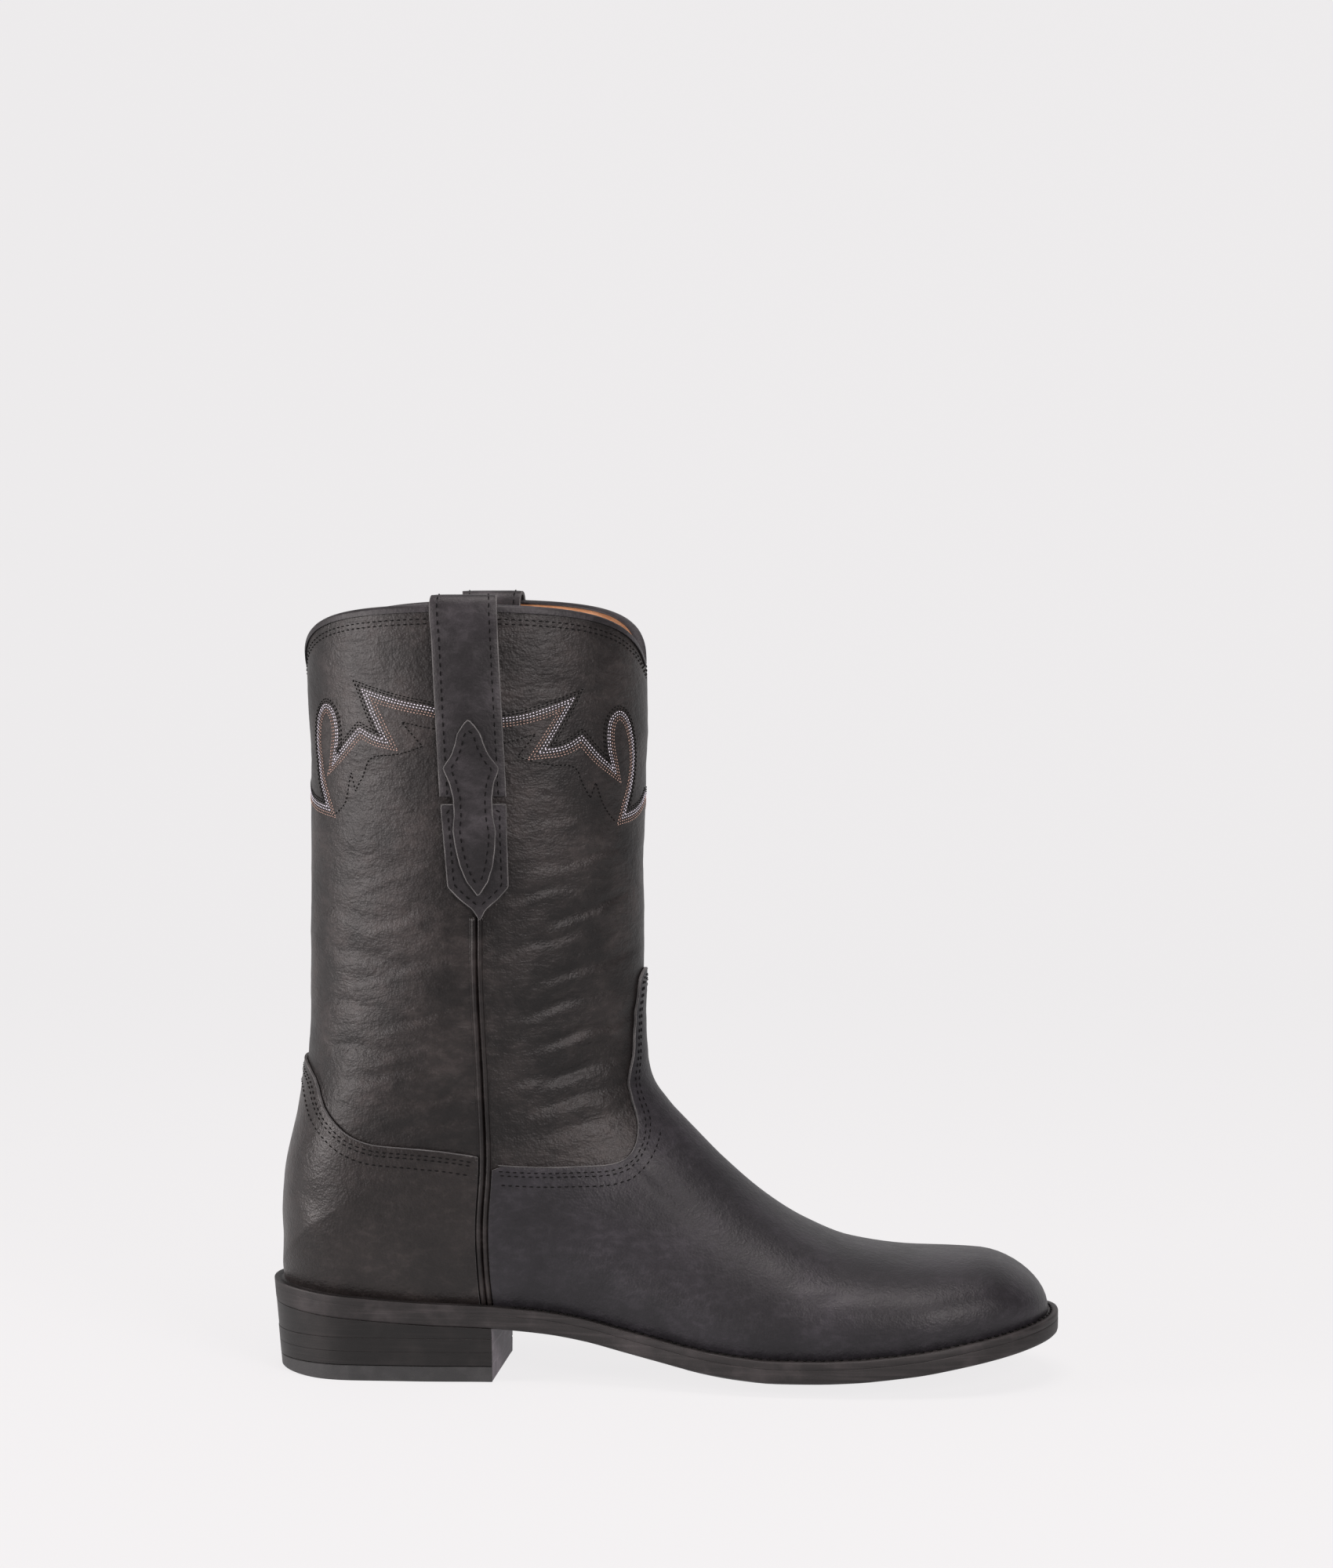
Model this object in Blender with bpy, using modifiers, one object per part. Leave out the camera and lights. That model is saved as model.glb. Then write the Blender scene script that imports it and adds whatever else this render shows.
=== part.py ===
"""Pull-on roper boot for the right foot, with a low stacked heel.

The frame has X towards the toe, Y towards the inner side of the foot and Z up.
The origin is the middle of the heel's tread, on the floor.
Lengths are metres. Tables hold shares of the named sizes at the top.
"""
import math
from collections import namedtuple

import bmesh
import bpy
from mathutils import Vector
from mathutils.bvhtree import BVHTree

# Driving sizes of the foot and the shaft
SOLE_LENGTH = 0.3065
BALL_WIDTH = 0.106
BOOT_HEIGHT = 0.299
ANKLE_HEIGHT = 0.143
SHAFT_WIDTH = 0.102
COLLAR_DIP = 0.023

# Heights of the sole's upper edge
SEAT_HEIGHT = 0.036
TOE_SPRING = 0.0124

# Thicknesses
WALL = 0.0022
WELT_THICKNESS = 0.0030
OUTSOLE_THICKNESS = 0.0053
TREAD_CROWN = 0.0065
TREAD_FLAT_DEPTH = 0.0012
INSOLE_RISE = 0.0025
INSOLE_CLEARANCE = 0.0007
BINDING_GAP = 0.0004
OVERLAY_GAP = 0.0004
STRAP_GAP = 0.0005
OVERLAY_THICKNESS = 0.0013
STRAP_THICKNESS = 0.0016
BINDING_THICKNESS = 0.0008
HEEL_CAP_THICKNESS = 0.0060
HEEL_LIFT_THICKNESS = 0.0050
HEEL_LIFTS = 2
GAP = 0.0003

# Plan of the sole
FEATHER_INSET = 0.0053
TOE_ROUND = 0.055
HEEL_ROUND = 0.038
CORNER_POWER = 2.2
HEEL_LENGTH = 0.0898
HEEL_RAKE = 0.0028
HEEL_BEVEL_RISE = 0.0020
HEEL_BEVEL_LENGTH = 0.026
TOE_FACE_DEPTH = 0.026

# Straps, piping and binding
STRAP_WIDTH = 0.0245
STRAP_PLACE = 0.274
STRAP_DROP = 0.0715
STRAP_INSIDE_DROP = 0.045
STRAP_LOOP_RISE = 0.0012
STRAP_SLANT = 0.0030
STRAP_INNER_SHIFT = -0.0030
PIPING_WIDTH = 0.0052
PIPING_THICKNESS = 0.0016
BINDING_HEIGHT = 0.0025

# Fineness of the shapes
FRONT_COLUMNS = 8
BACK_COLUMNS = 6
TOE_ROWS = 7
STRAP_COLUMNS = 4
SOLE_STATIONS = 26

WELT_INSET = FEATHER_INSET + WALL + GAP
FEATHER_LENGTH = SOLE_LENGTH - 2 * FEATHER_INSET
HEEL_BACK = -(HEEL_LENGTH + HEEL_RAKE) / 2
TREAD_TOP = WELT_THICKNESS + GAP + OUTSOLE_THICKNESS + TREAD_CROWN - TREAD_FLAT_DEPTH
COLLAR_LOW = BOOT_HEIGHT - COLLAR_DIP
MERGE = 0.00001
OUTER, INNER = -1, 1

# Sole, heel to toe. along is a share of SOLE_LENGTH, outer and inner are half
# widths in shares of BALL_WIDTH before the ends are rounded, heel_rise and
# toe_rise mix the seat height and the toe spring, crown bends the tread down.
SoleRow = namedtuple("SoleRow", "along outer inner heel_rise toe_rise crown")
SOLE_ROWS = (
    SoleRow(0.000, 0.292, 0.292, 1.00, 0.00, 0.0),
    SoleRow(0.100, 0.311, 0.311, 0.87, 0.00, 0.0),
    SoleRow(0.200, 0.311, 0.311, 0.77, 0.00, 0.0),
    SoleRow(0.295, 0.300, 0.292, 0.71, 0.00, 0.0),
    SoleRow(0.360, 0.304, 0.272, 0.64, 0.00, 0.0),
    SoleRow(0.410, 0.320, 0.265, 0.54, 0.00, 0.1),
    SoleRow(0.460, 0.347, 0.280, 0.39, 0.00, 0.3),
    SoleRow(0.505, 0.377, 0.310, 0.26, 0.00, 0.6),
    SoleRow(0.555, 0.418, 0.360, 0.13, 0.00, 0.9),
    SoleRow(0.605, 0.443, 0.416, 0.04, 0.00, 1.0),
    SoleRow(0.650, 0.461, 0.465, 0.00, 0.00, 1.0),
    SoleRow(0.700, 0.470, 0.508, 0.00, 0.01, 1.0),
    SoleRow(0.750, 0.472, 0.526, 0.00, 0.07, 1.0),
    SoleRow(0.820, 0.460, 0.520, 0.00, 0.25, 0.8),
    SoleRow(0.880, 0.438, 0.498, 0.00, 0.48, 0.5),
    SoleRow(0.945, 0.412, 0.468, 0.00, 0.74, 0.2),
    SoleRow(1.000, 0.390, 0.446, 0.00, 1.00, 0.0),
)

# Upper over the foot, toe to heel. Each row is a rib from the ridge at the
# front down to the feather edge. Places along are shares of FEATHER_LENGTH,
# front_height of ANKLE_HEIGHT, half widths of BALL_WIDTH. widest is where the
# rib is widest and ridge rounds its top.
FootRow = namedtuple("FootRow", "name front front_height edge outer inner widest ridge bend")
FOOT_ROWS = (
    FootRow("toe_tip", 1.000, 0.314, 1.000, 0.385, 0.430, 0.72, 2.3, 0.00),
    FootRow("toe_box", 0.915, 0.324, 0.915, 0.395, 0.442, 0.72, 2.3, 0.00),
    FootRow("vamp_low", 0.830, 0.328, 0.830, 0.428, 0.478, 0.72, 2.2, 0.00),
    FootRow("ball", 0.746, 0.352, 0.739, 0.444, 0.490, 0.72, 2.1, 0.00),
    FootRow("tread", 0.685, 0.405, 0.668, 0.446, 0.458, 0.74, 2.0, 0.00),
    FootRow("waist", 0.631, 0.479, 0.590, 0.424, 0.406, 0.75, 1.9, 0.00),
    FootRow("instep_low", 0.580, 0.571, 0.496, 0.388, 0.358, 0.75, 1.85, 0.00),
    FootRow("instep", 0.534, 0.667, 0.408, 0.353, 0.337, 0.72, 1.85, 0.00),
    FootRow("throat", 0.502, 0.738, 0.330, 0.337, 0.327, 0.68, 1.9, 0.15),
    FootRow("ankle_low", 0.484, 0.796, 0.252, 0.338, 0.333, 0.64, 1.95, 0.35),
    FootRow("ankle", 0.477, 0.848, 0.178, 0.346, 0.345, 0.60, 2.0, 0.55),
    FootRow("ankle_high", 0.475, 0.892, 0.110, 0.357, 0.357, 0.57, 2.0, 0.75),
    FootRow("heel_low", 0.474, 0.932, 0.050, 0.367, 0.367, 0.55, 2.0, 0.90),
    FootRow("heel", 0.474, 0.961, 0.018, 0.373, 0.373, 0.538, 2.0, 1.00),
    FootRow("heel_back", 0.474, 0.981, 0.005, 0.376, 0.376, 0.530, 2.0, 1.00),
    FootRow("seat_end", 0.474, 1.000, 0.000, 0.379, 0.379, 0.525, 2.0, 1.00),
)

# Upper above the seat, up to the collar. Places along are shares of
# FEATHER_LENGTH, front_height runs from ANKLE_HEIGHT and back_height from the
# seat up to the collar's low line, width is a share of SHAFT_WIDTH. follow is
# how far the row keeps the heel's plan and lift how far its sides rise.
ShaftRow = namedtuple("ShaftRow", "name front front_height back back_height width follow lift bend")
SHAFT_ROWS = (
    ShaftRow("counter_low", 0.475, 0.045, 0.001, 0.050, 0.402, 0.92, 0.0, 0.92),
    ShaftRow("counter_swell", 0.475, 0.097, -0.001, 0.100, 0.412, 0.80, 0.0, 0.80),
    ShaftRow("counter_high", 0.476, 0.164, 0.002, 0.162, 0.422, 0.66, 0.0, 0.64),
    ShaftRow("heel_curve", 0.476, 0.239, 0.011, 0.224, 0.433, 0.50, 0.0, 0.46),
    ShaftRow("counter_top", 0.476, 0.321, 0.023, 0.290, 0.446, 0.34, 0.0, 0.28),
    ShaftRow("shaft_low", 0.476, 0.403, 0.031, 0.361, 0.458, 0.20, 0.0, 0.12),
    ShaftRow("shaft_1", 0.477, 0.485, 0.034, 0.452, 0.469, 0.08, 0.0, 0.00),
    ShaftRow("shaft_2", 0.478, 0.590, 0.036, 0.564, 0.480, 0.00, 0.0, 0.00),
    ShaftRow("shaft_3", 0.480, 0.709, 0.038, 0.693, 0.490, 0.00, 0.05, 0.00),
    ShaftRow("shaft_4", 0.482, 0.828, 0.038, 0.826, 0.497, 0.00, 0.30, 0.00),
    ShaftRow("below_collar", 0.482, 0.918, 0.036, 0.938, 0.500, 0.00, 0.68, 0.00),
    ShaftRow("collar", 0.478, 1.000, 0.034, 1.000, 0.500, 0.00, 1.0, 0.00),
)

# The side piping's middle line: height is a share of ANKLE_HEIGHT, along of
# SOLE_LENGTH.
LinePoint = namedtuple("LinePoint", "along height")
PIPING_LINE = (
    LinePoint(0.286, 0.19),
    LinePoint(0.284, 0.40),
    LinePoint(0.290, 0.62),
    LinePoint(0.287, 0.82),
    LinePoint(0.281, 1.11),
    LinePoint(0.281, 1.28),
)

# Upper edge of the counter, from the back to the piping, and of the vamp, from
# the piping to the tongue.
COUNTER_LINE = (
    LinePoint(0.030, 0.885),
    LinePoint(0.052, 0.850),
    LinePoint(0.072, 0.810),
    LinePoint(0.084, 0.750),
    LinePoint(0.102, 0.706),
    LinePoint(0.124, 0.672),
    LinePoint(0.152, 0.654),
    LinePoint(0.190, 0.648),
    LinePoint(0.234, 0.640),
    LinePoint(0.310, 0.612),
)
VAMP_LINE = (
    LinePoint(0.250, 0.618),
    LinePoint(0.320, 0.598),
    LinePoint(0.380, 0.592),
    LinePoint(0.432, 0.592),
    LinePoint(0.456, 0.600),
    LinePoint(0.468, 0.622),
    LinePoint(0.475, 0.660),
    LinePoint(0.478, 0.715),
    LinePoint(0.475, 0.780),
    LinePoint(0.475, 0.830),
)

# Tongue of the vamp seen from the front: across is a half width in shares of
# BALL_WIDTH, height a share of ANKLE_HEIGHT.
TonguePoint = namedtuple("TonguePoint", "across height")
TONGUE_OUTLINE = (
    TonguePoint(0.150, 0.800),
    TonguePoint(0.118, 0.860),
    TonguePoint(0.102, 0.930),
    TonguePoint(0.095, 1.010),
    TonguePoint(0.080, 1.070),
    TonguePoint(0.046, 1.095),
    TonguePoint(0.000, 1.104),
)

# Pieces stitched at the side of the shaft. across is a share of STRAP_WIDTH
# from the strap's middle, below is a share of STRAP_DROP from its lower end.
SidePoint = namedtuple("SidePoint", "across below")
STRAP_BASE_OUTLINE = (
    SidePoint(-0.50, 0.04),
    SidePoint(-0.46, 0.50),
    SidePoint(-0.10, 0.60),
    SidePoint(0.00, 0.66),
    SidePoint(0.10, 0.60),
    SidePoint(0.46, 0.50),
    SidePoint(0.50, 0.04),
)
SPEAR_OUTLINE = (
    SidePoint(0.00, -0.41),
    SidePoint(-0.17, -0.35),
    SidePoint(-0.21, -0.28),
    SidePoint(-0.42, -0.15),
    SidePoint(-0.29, 0.01),
    SidePoint(-0.33, 0.26),
    SidePoint(-0.24, 0.38),
    SidePoint(0.00, 0.52),
    SidePoint(0.24, 0.38),
    SidePoint(0.33, 0.26),
    SidePoint(0.29, 0.01),
    SidePoint(0.42, -0.15),
    SidePoint(0.21, -0.28),
    SidePoint(0.17, -0.35),
)

# Colour, roughness and metallic value of each material
Finish = namedtuple("Finish", "red green blue roughness metallic")
BLACK_LEATHER = Finish(0.030, 0.028, 0.030, 0.48, 0.0)
STACKED_LEATHER = Finish(0.028, 0.026, 0.026, 0.42, 0.0)
BLACK_RUBBER = Finish(0.022, 0.021, 0.021, 0.70, 0.0)
TAN_LEATHER = Finish(0.420, 0.205, 0.095, 0.62, 0.0)


def clear_scene():
    """Remove every object that the scene starts with."""
    for thing in list(bpy.data.objects):
        bpy.data.objects.remove(thing, do_unlink=True)


def new_collection(name):
    """Add a collection to the scene."""
    collection = bpy.data.collections.new(name)
    bpy.context.scene.collection.children.link(collection)
    return collection


def column(rows, name):
    """Read one named column of a table."""
    return [getattr(row, name) for row in rows]


def smooth(places, values, place):
    """Curve through the values without overshoot, read at one place."""
    if place <= places[0]:
        return values[0]
    if place >= places[-1]:
        return values[-1]
    last = len(places) - 1
    steps = [places[i + 1] - places[i] for i in range(last)]
    slopes = [(values[i + 1] - values[i]) / steps[i] for i in range(last)]

    def tangent(i):
        if i == 0:
            return slopes[0]
        if i == last:
            return slopes[-1]
        before, after = slopes[i - 1], slopes[i]
        if before * after <= 0:
            return 0.0
        return 2 * before * after / (before + after)

    i = max(k for k in range(last) if places[k] <= place)
    t = (place - places[i]) / steps[i]
    rise = values[i + 1] - values[i]
    start, end = tangent(i) * steps[i], tangent(i + 1) * steps[i]
    return values[i] + t * (start + t * (3 * rise - 2 * start - end + t * (start + end - 2 * rise)))


def rounded_end(depth):
    """Width left at a share of the depth of a rounded end."""
    if depth <= 0:
        return 1.0
    if depth >= 1:
        return 0.0
    return (1 - depth ** CORNER_POWER) ** (1 / CORNER_POWER)


def toe_factor(along, inset):
    """How far the round toe narrows the plan at a distance from the heel."""
    return rounded_end((along - SOLE_LENGTH + TOE_ROUND) / (TOE_ROUND - inset))


def plan_half(along, side, inset):
    """Half width of the sole's plan, drawn in by an inset all round."""
    share = along / SOLE_LENGTH
    name = "outer" if side == OUTER else "inner"
    half = smooth(column(SOLE_ROWS, "along"), column(SOLE_ROWS, name), share) * BALL_WIDTH - inset
    heel = rounded_end((HEEL_ROUND - along) / (HEEL_ROUND - inset))
    return half * heel * toe_factor(along, inset)


def top_line(along):
    """Height of the sole's upper face at a distance from the heel's back."""
    share = along / SOLE_LENGTH
    places = column(SOLE_ROWS, "along")
    heel = smooth(places, column(SOLE_ROWS, "heel_rise"), share)
    toe = smooth(places, column(SOLE_ROWS, "toe_rise"), share)
    return TREAD_TOP + heel * (SEAT_HEIGHT - TREAD_TOP) + toe * TOE_SPRING


def outsole_top(along, across):
    """Upper face of the outsole, under the welt."""
    return top_line(along) - WELT_THICKNESS - GAP


def outsole_bottom(along, across):
    """Lower face of the outsole, crowned at the ball and flat where it treads."""
    crown = smooth(column(SOLE_ROWS, "along"), column(SOLE_ROWS, "crown"), along / SOLE_LENGTH)
    drop = crown * TREAD_CROWN * (1 - across ** 2)
    return max(0.0, outsole_top(along, across) - OUTSOLE_THICKNESS - drop)


# The upper's form
FOOT_LAST = len(FOOT_ROWS) - 1
FORM_LAST = FOOT_LAST + len(SHAFT_ROWS)
FORM_PLACES = list(range(FORM_LAST + 1))
SHAFT_START = FOOT_LAST + 1 + [row.name for row in SHAFT_ROWS].index("heel_curve")


def feather_place(share):
    """Distance from the heel's back of a share of the feather line."""
    return FEATHER_INSET + share * FEATHER_LENGTH


def form_column(foot_values, shaft_values):
    """Join one measure of the foot's rows to the same measure of the shaft's."""
    return list(foot_values) + list(shaft_values)


FRONT_ALONG = form_column(
    [feather_place(row.front) for row in FOOT_ROWS],
    [feather_place(row.front) for row in SHAFT_ROWS])
FRONT_HEIGHT = form_column(
    [row.front_height * ANKLE_HEIGHT for row in FOOT_ROWS],
    [ANKLE_HEIGHT + row.front_height * (COLLAR_LOW - ANKLE_HEIGHT) for row in SHAFT_ROWS])
EDGE_ALONG = form_column(
    [feather_place(row.edge) for row in FOOT_ROWS],
    [feather_place(row.back) for row in SHAFT_ROWS])
FEATHER_HEIGHT = SEAT_HEIGHT + GAP
BACK_HEIGHT = form_column(
    [FEATHER_HEIGHT for row in FOOT_ROWS],
    [FEATHER_HEIGHT + row.back_height * (COLLAR_LOW - FEATHER_HEIGHT) for row in SHAFT_ROWS])
SHAFT_HALVES = [row.width * SHAFT_WIDTH for row in SHAFT_ROWS]
OUTER_HALF = form_column([row.outer * BALL_WIDTH for row in FOOT_ROWS], SHAFT_HALVES)
INNER_HALF = form_column([row.inner * BALL_WIDTH for row in FOOT_ROWS], SHAFT_HALVES)
WIDEST = form_column(
    column(FOOT_ROWS, "widest"),
    [0.5 + (FOOT_ROWS[-1].widest - 0.5) * row.follow for row in SHAFT_ROWS])
RIDGE = form_column(column(FOOT_ROWS, "ridge"), [2.0] * len(SHAFT_ROWS))
FOLLOW = form_column([1.0] * len(FOOT_ROWS), column(SHAFT_ROWS, "follow"))
LIFT = form_column([0.0] * len(FOOT_ROWS), column(SHAFT_ROWS, "lift"))
BEND = form_column(column(FOOT_ROWS, "bend"), column(SHAFT_ROWS, "bend"))

COLLAR_CURVE_SPREAD = 0.31
COLLAR_CURVE_POWER = 1.2


def collar_lift(turn):
    """Rise of the collar's side over its low front and back, as a share."""
    from_centre = turn if turn < 1 else 2 - turn
    return 1 - math.exp(-(from_centre / COLLAR_CURVE_SPREAD) ** COLLAR_CURVE_POWER)


def form_point(station, turn, side):
    """Point of the upper's outside.

    station counts the rows from the toe, turn runs from 0 at the front line
    over 1 at the widest place to 2 at the feather edge or the back line.
    """
    def at(values):
        return smooth(FORM_PLACES, values, station)

    front_x, edge_x = at(FRONT_ALONG), at(EDGE_ALONG)
    edge_z, plan_shift = at(BACK_HEIGHT), edge_x - FEATHER_INSET
    if station < FOOT_LAST:
        edge_z, plan_shift = top_line(edge_x) + GAP, 0.0
    toe_depth = (front_x - feather_place(1) + TOE_FACE_DEPTH) / TOE_FACE_DEPTH
    toe_height = math.sqrt(max(0.0, 1 - max(0.0, toe_depth) ** 2))
    front_z = edge_z + (at(FRONT_HEIGHT) - edge_z) * toe_height
    half = at(OUTER_HALF if side == OUTER else INNER_HALF) * toe_factor(front_x, FEATHER_INSET)
    widest = at(WIDEST)

    def plan_at(down):
        along = front_x + (edge_x - front_x) * down
        return plan_half(along - plan_shift, side, FEATHER_INSET)

    if turn <= 1:
        angle = turn * math.pi / 2
        power = 2 / at(RIDGE)
        across = half * math.sin(angle) ** power
        down = widest * (1 - max(0.0, math.cos(angle)) ** power)
        back = down
    else:
        fall = min(1.0, math.sin((turn - 1) * math.pi / 2))
        run = fall + at(BEND) * (fall - fall ** 2)
        swell = max(0.0, half - plan_at(widest)) * (1 - fall ** 2)
        oval = half * math.sqrt(max(0.0, 1 - run ** 2))
        down = widest + (1 - widest) * fall
        back = widest + (1 - widest) * run
        follow = at(FOLLOW)
        across = (plan_at(back) + swell) * follow + oval * (1 - follow)
    rise = at(LIFT) * COLLAR_DIP * collar_lift(turn)
    x = front_x + (edge_x - front_x) * back
    z = front_z + (edge_z - front_z) * down + rise
    return Vector((HEEL_BACK + x, side * across, z))


def form_stations():
    """Rows of the form's mesh, closer together towards the toe's tip."""
    stations = [1 - math.cos(math.pi / 2 * k / TOE_ROWS) for k in range(TOE_ROWS)]
    station = 1.0
    while station < FORM_LAST:
        stations.append(station)
        station += 1.0 if station >= FOOT_LAST - 3 else 0.75
    return stations + [float(FORM_LAST)]


def form_turns():
    """Columns of one side of the form's mesh, from the front line outwards."""
    front = [k / FRONT_COLUMNS for k in range(FRONT_COLUMNS)]
    return front + [1 + k / BACK_COLUMNS for k in range(BACK_COLUMNS + 1)]


def grid_faces(mesh, rows):
    """Fill the quads between rows of vertices."""
    for low, high in zip(rows, rows[1:]):
        for k in range(len(low) - 1):
            mesh.faces.new((low[k], low[k + 1], high[k + 1], high[k]))


def form_surface(offset, first=0.0):
    """Open surface of the form from a station up, moved out along its normals."""
    mesh = bmesh.new()
    turns = form_turns()
    rows = []
    for station in [station for station in form_stations() if station >= first]:
        outer = [form_point(station, turn, OUTER) for turn in reversed(turns)]
        inner = [form_point(station, turn, INNER) for turn in turns[1:]]
        rows.append([mesh.verts.new(point) for point in outer + inner])
    grid_faces(mesh, rows)
    bmesh.ops.remove_doubles(mesh, verts=mesh.verts, dist=MERGE)
    mesh.normal_update()
    moves = [(vertex, vertex.normal.copy()) for vertex in mesh.verts]
    for vertex, normal in moves:
        vertex.co += normal * offset
    return mesh


def new_material(name, finish):
    """Make a plain material from a finish."""
    material = bpy.data.materials.new(name)
    material.use_nodes = True
    shader = material.node_tree.nodes["Principled BSDF"]
    shader.inputs["Base Color"].default_value = (finish.red, finish.green, finish.blue, 1)
    shader.inputs["Roughness"].default_value = finish.roughness
    shader.inputs["Metallic"].default_value = finish.metallic
    return material


def new_object(name, mesh, collection, finish=None):
    """Turn a bmesh into an object of the collection."""
    data = bpy.data.meshes.new(name)
    mesh.to_mesh(data)
    mesh.free()
    thing = bpy.data.objects.new(name, data)
    collection.objects.link(thing)
    if finish is None:
        thing.hide_render = True
        thing.display_type = "WIRE"
    else:
        data.materials.append(new_material(name + "_finish", finish))
        data.shade_smooth()
        data.set_sharp_from_angle(angle=math.radians(38))
    return thing


def add_wall(thing, thickness, outward):
    """Give an open surface its thickness."""
    solidify = thing.modifiers.new("wall", "SOLIDIFY")
    solidify.thickness = thickness
    solidify.offset = 1 if outward else -1


def keep_inside(thing, cutter):
    """Keep only what lies inside the cutter."""
    boolean = thing.modifiers.new("outline", "BOOLEAN")
    boolean.operation = "INTERSECT"
    boolean.object = cutter


def closed_solid(mesh):
    """Merge the mesh's shared points and turn its faces out."""
    bmesh.ops.remove_doubles(mesh, verts=mesh.verts, dist=MERGE)
    bmesh.ops.recalc_face_normals(mesh, faces=mesh.faces)
    return mesh


def prism(name, outline, direction, start, end, collection):
    """Cutter with an outline in side view (direction Y) or front view (direction X)."""
    mesh = bmesh.new()
    if direction == "Y":
        corners = [mesh.verts.new((across, start, height)) for across, height in outline]
        depth = Vector((0, end - start, 0))
    else:
        corners = [mesh.verts.new((start, across, height)) for across, height in outline]
        depth = Vector((end - start, 0, 0))
    face = mesh.faces.new(corners)
    grown = bmesh.ops.extrude_face_region(mesh, geom=[face])
    moved = [item for item in grown["geom"] if isinstance(item, bmesh.types.BMVert)]
    bmesh.ops.translate(mesh, verts=moved, vec=depth)
    return new_object(name, closed_solid(mesh), collection)


def skin_piece(name, offset, thickness, cutter, collection, first=0.0):
    """Piece cut between two larger forms of the upper."""
    thing = new_object(name, form_surface(offset, first), collection, BLACK_LEATHER)
    add_wall(thing, thickness, outward=True)
    keep_inside(thing, cutter)
    return thing


def tube_mesh(rings, closed=False):
    """Solid through rings of points that all have the same count."""
    mesh = bmesh.new()
    loops = [[mesh.verts.new(point) for point in ring] for ring in rings]
    if closed:
        loops.append(loops[0])
    grid_faces(mesh, [loop + loop[:1] for loop in loops])
    if not closed:
        mesh.faces.new(list(reversed(loops[0])))
        mesh.faces.new(loops[-1])
    return closed_solid(mesh)


def sheet_solid(front, back):
    """Solid between two grids of points with the same rows and columns."""
    rings = [list(near) + list(reversed(far)) for near, far in zip(front, back)]
    mesh = bmesh.new()
    loops = [[mesh.verts.new(point) for point in ring] for ring in rings]
    grid_faces(mesh, [loop + loop[:1] for loop in loops])
    for loop in (loops[0], loops[-1]):
        half = len(loop) // 2
        for k in range(half - 1):
            mesh.faces.new((loop[k], loop[k + 1], loop[-k - 2], loop[-k - 1]))
    return closed_solid(mesh)


def spaced(count, round_start, round_end):
    """Shares from 0 to 1, closer together towards a rounded end."""
    shares = [k / count for k in range(count + 1)]
    if round_start and round_end:
        return [(1 - math.cos(math.pi * share)) / 2 for share in shares]
    if round_start:
        return [1 - math.cos(math.pi / 2 * share) for share in shares]
    return [math.sin(math.pi / 2 * share) for share in shares]


CROWNED_COLUMNS = (-1.0, -0.8, -0.38, 0.0, 0.38, 0.8, 1.0)
FLAT_COLUMNS = (-1.0, 1.0)


def plate_line(start, end, share, inset, height, columns):
    """Row of points across a plate at a share of its length."""
    along = start + (end - start) * share
    points = []
    for across in columns:
        side = OUTER if across < 0 else INNER
        half = plan_half(along, side, inset)
        points.append((HEEL_BACK + along, across * half, height(along, across)))
    return points


def plate_mesh(shares, span, top_inset, bottom_inset, top, bottom, columns=FLAT_COLUMNS):
    """Plate that follows the sole's plan between two heights.

    span gives the start and end as functions of the inset.
    """
    above, below = [], []
    for share in shares:
        above.append(plate_line(*span(top_inset), share, top_inset, top, columns))
        below.append(plate_line(*span(bottom_inset), share, bottom_inset, bottom, columns))
    return sheet_solid(above, below)


def strip_mesh(shares, start, end, top, bottom):
    """Strip along the sole's edge, from one side round the rounded end to the other."""
    rings = []
    for side, order in ((OUTER, shares), (INNER, list(reversed(shares))[1:])):
        for share in order:
            ring = []
            for inset, height in ((0, top), (0, bottom), (WELT_INSET, bottom), (WELT_INSET, top)):
                tip = end - inset if end > start else end + inset
                along = start + (tip - start) * share
                half = plan_half(along, side, inset)
                ring.append((HEEL_BACK + along, side * half, height(along, 0)))
            rings.append(ring)
    return tube_mesh(rings)


def welt_top(along, across):
    """Upper face of the welt and the heel seat."""
    return top_line(along)


def welt_bottom(along, across):
    """Lower face of the welt and the heel seat."""
    return top_line(along) - WELT_THICKNESS


def make_sole(parts):
    """Welt, heel seat, outsole and insole."""
    toe = spaced(SOLE_STATIONS, False, True)
    heel = spaced(SOLE_STATIONS // 2, False, True)
    welt = strip_mesh(toe, HEEL_LENGTH + GAP, SOLE_LENGTH, welt_top, welt_bottom)
    new_object("welt", welt, parts, BLACK_LEATHER)
    seat = strip_mesh(heel, HEEL_LENGTH, 0.0, welt_top, welt_bottom)
    new_object("heel_seat", seat, parts, STACKED_LEATHER)

    def whole(inset):
        return inset, SOLE_LENGTH - inset

    both = spaced(SOLE_STATIONS, True, True)
    outsole = plate_mesh(both, whole, 0.0, 0.0, outsole_top, outsole_bottom, CROWNED_COLUMNS)
    new_object("outsole", outsole, parts, STACKED_LEATHER)

    def insole_top(along, across):
        return top_line(along) + INSOLE_RISE

    def insole_bottom(along, across):
        return outsole_top(along, across) + GAP

    inset = WELT_INSET + INSOLE_CLEARANCE
    insole = plate_mesh(both, whole, inset, inset, insole_top, insole_bottom)
    new_object("insole", insole, parts, TAN_LEATHER)


def heel_inset(height):
    """How far the heel's side has drawn in at a height."""
    return HEEL_RAKE * (1 - height / SEAT_HEIGHT)


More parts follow.
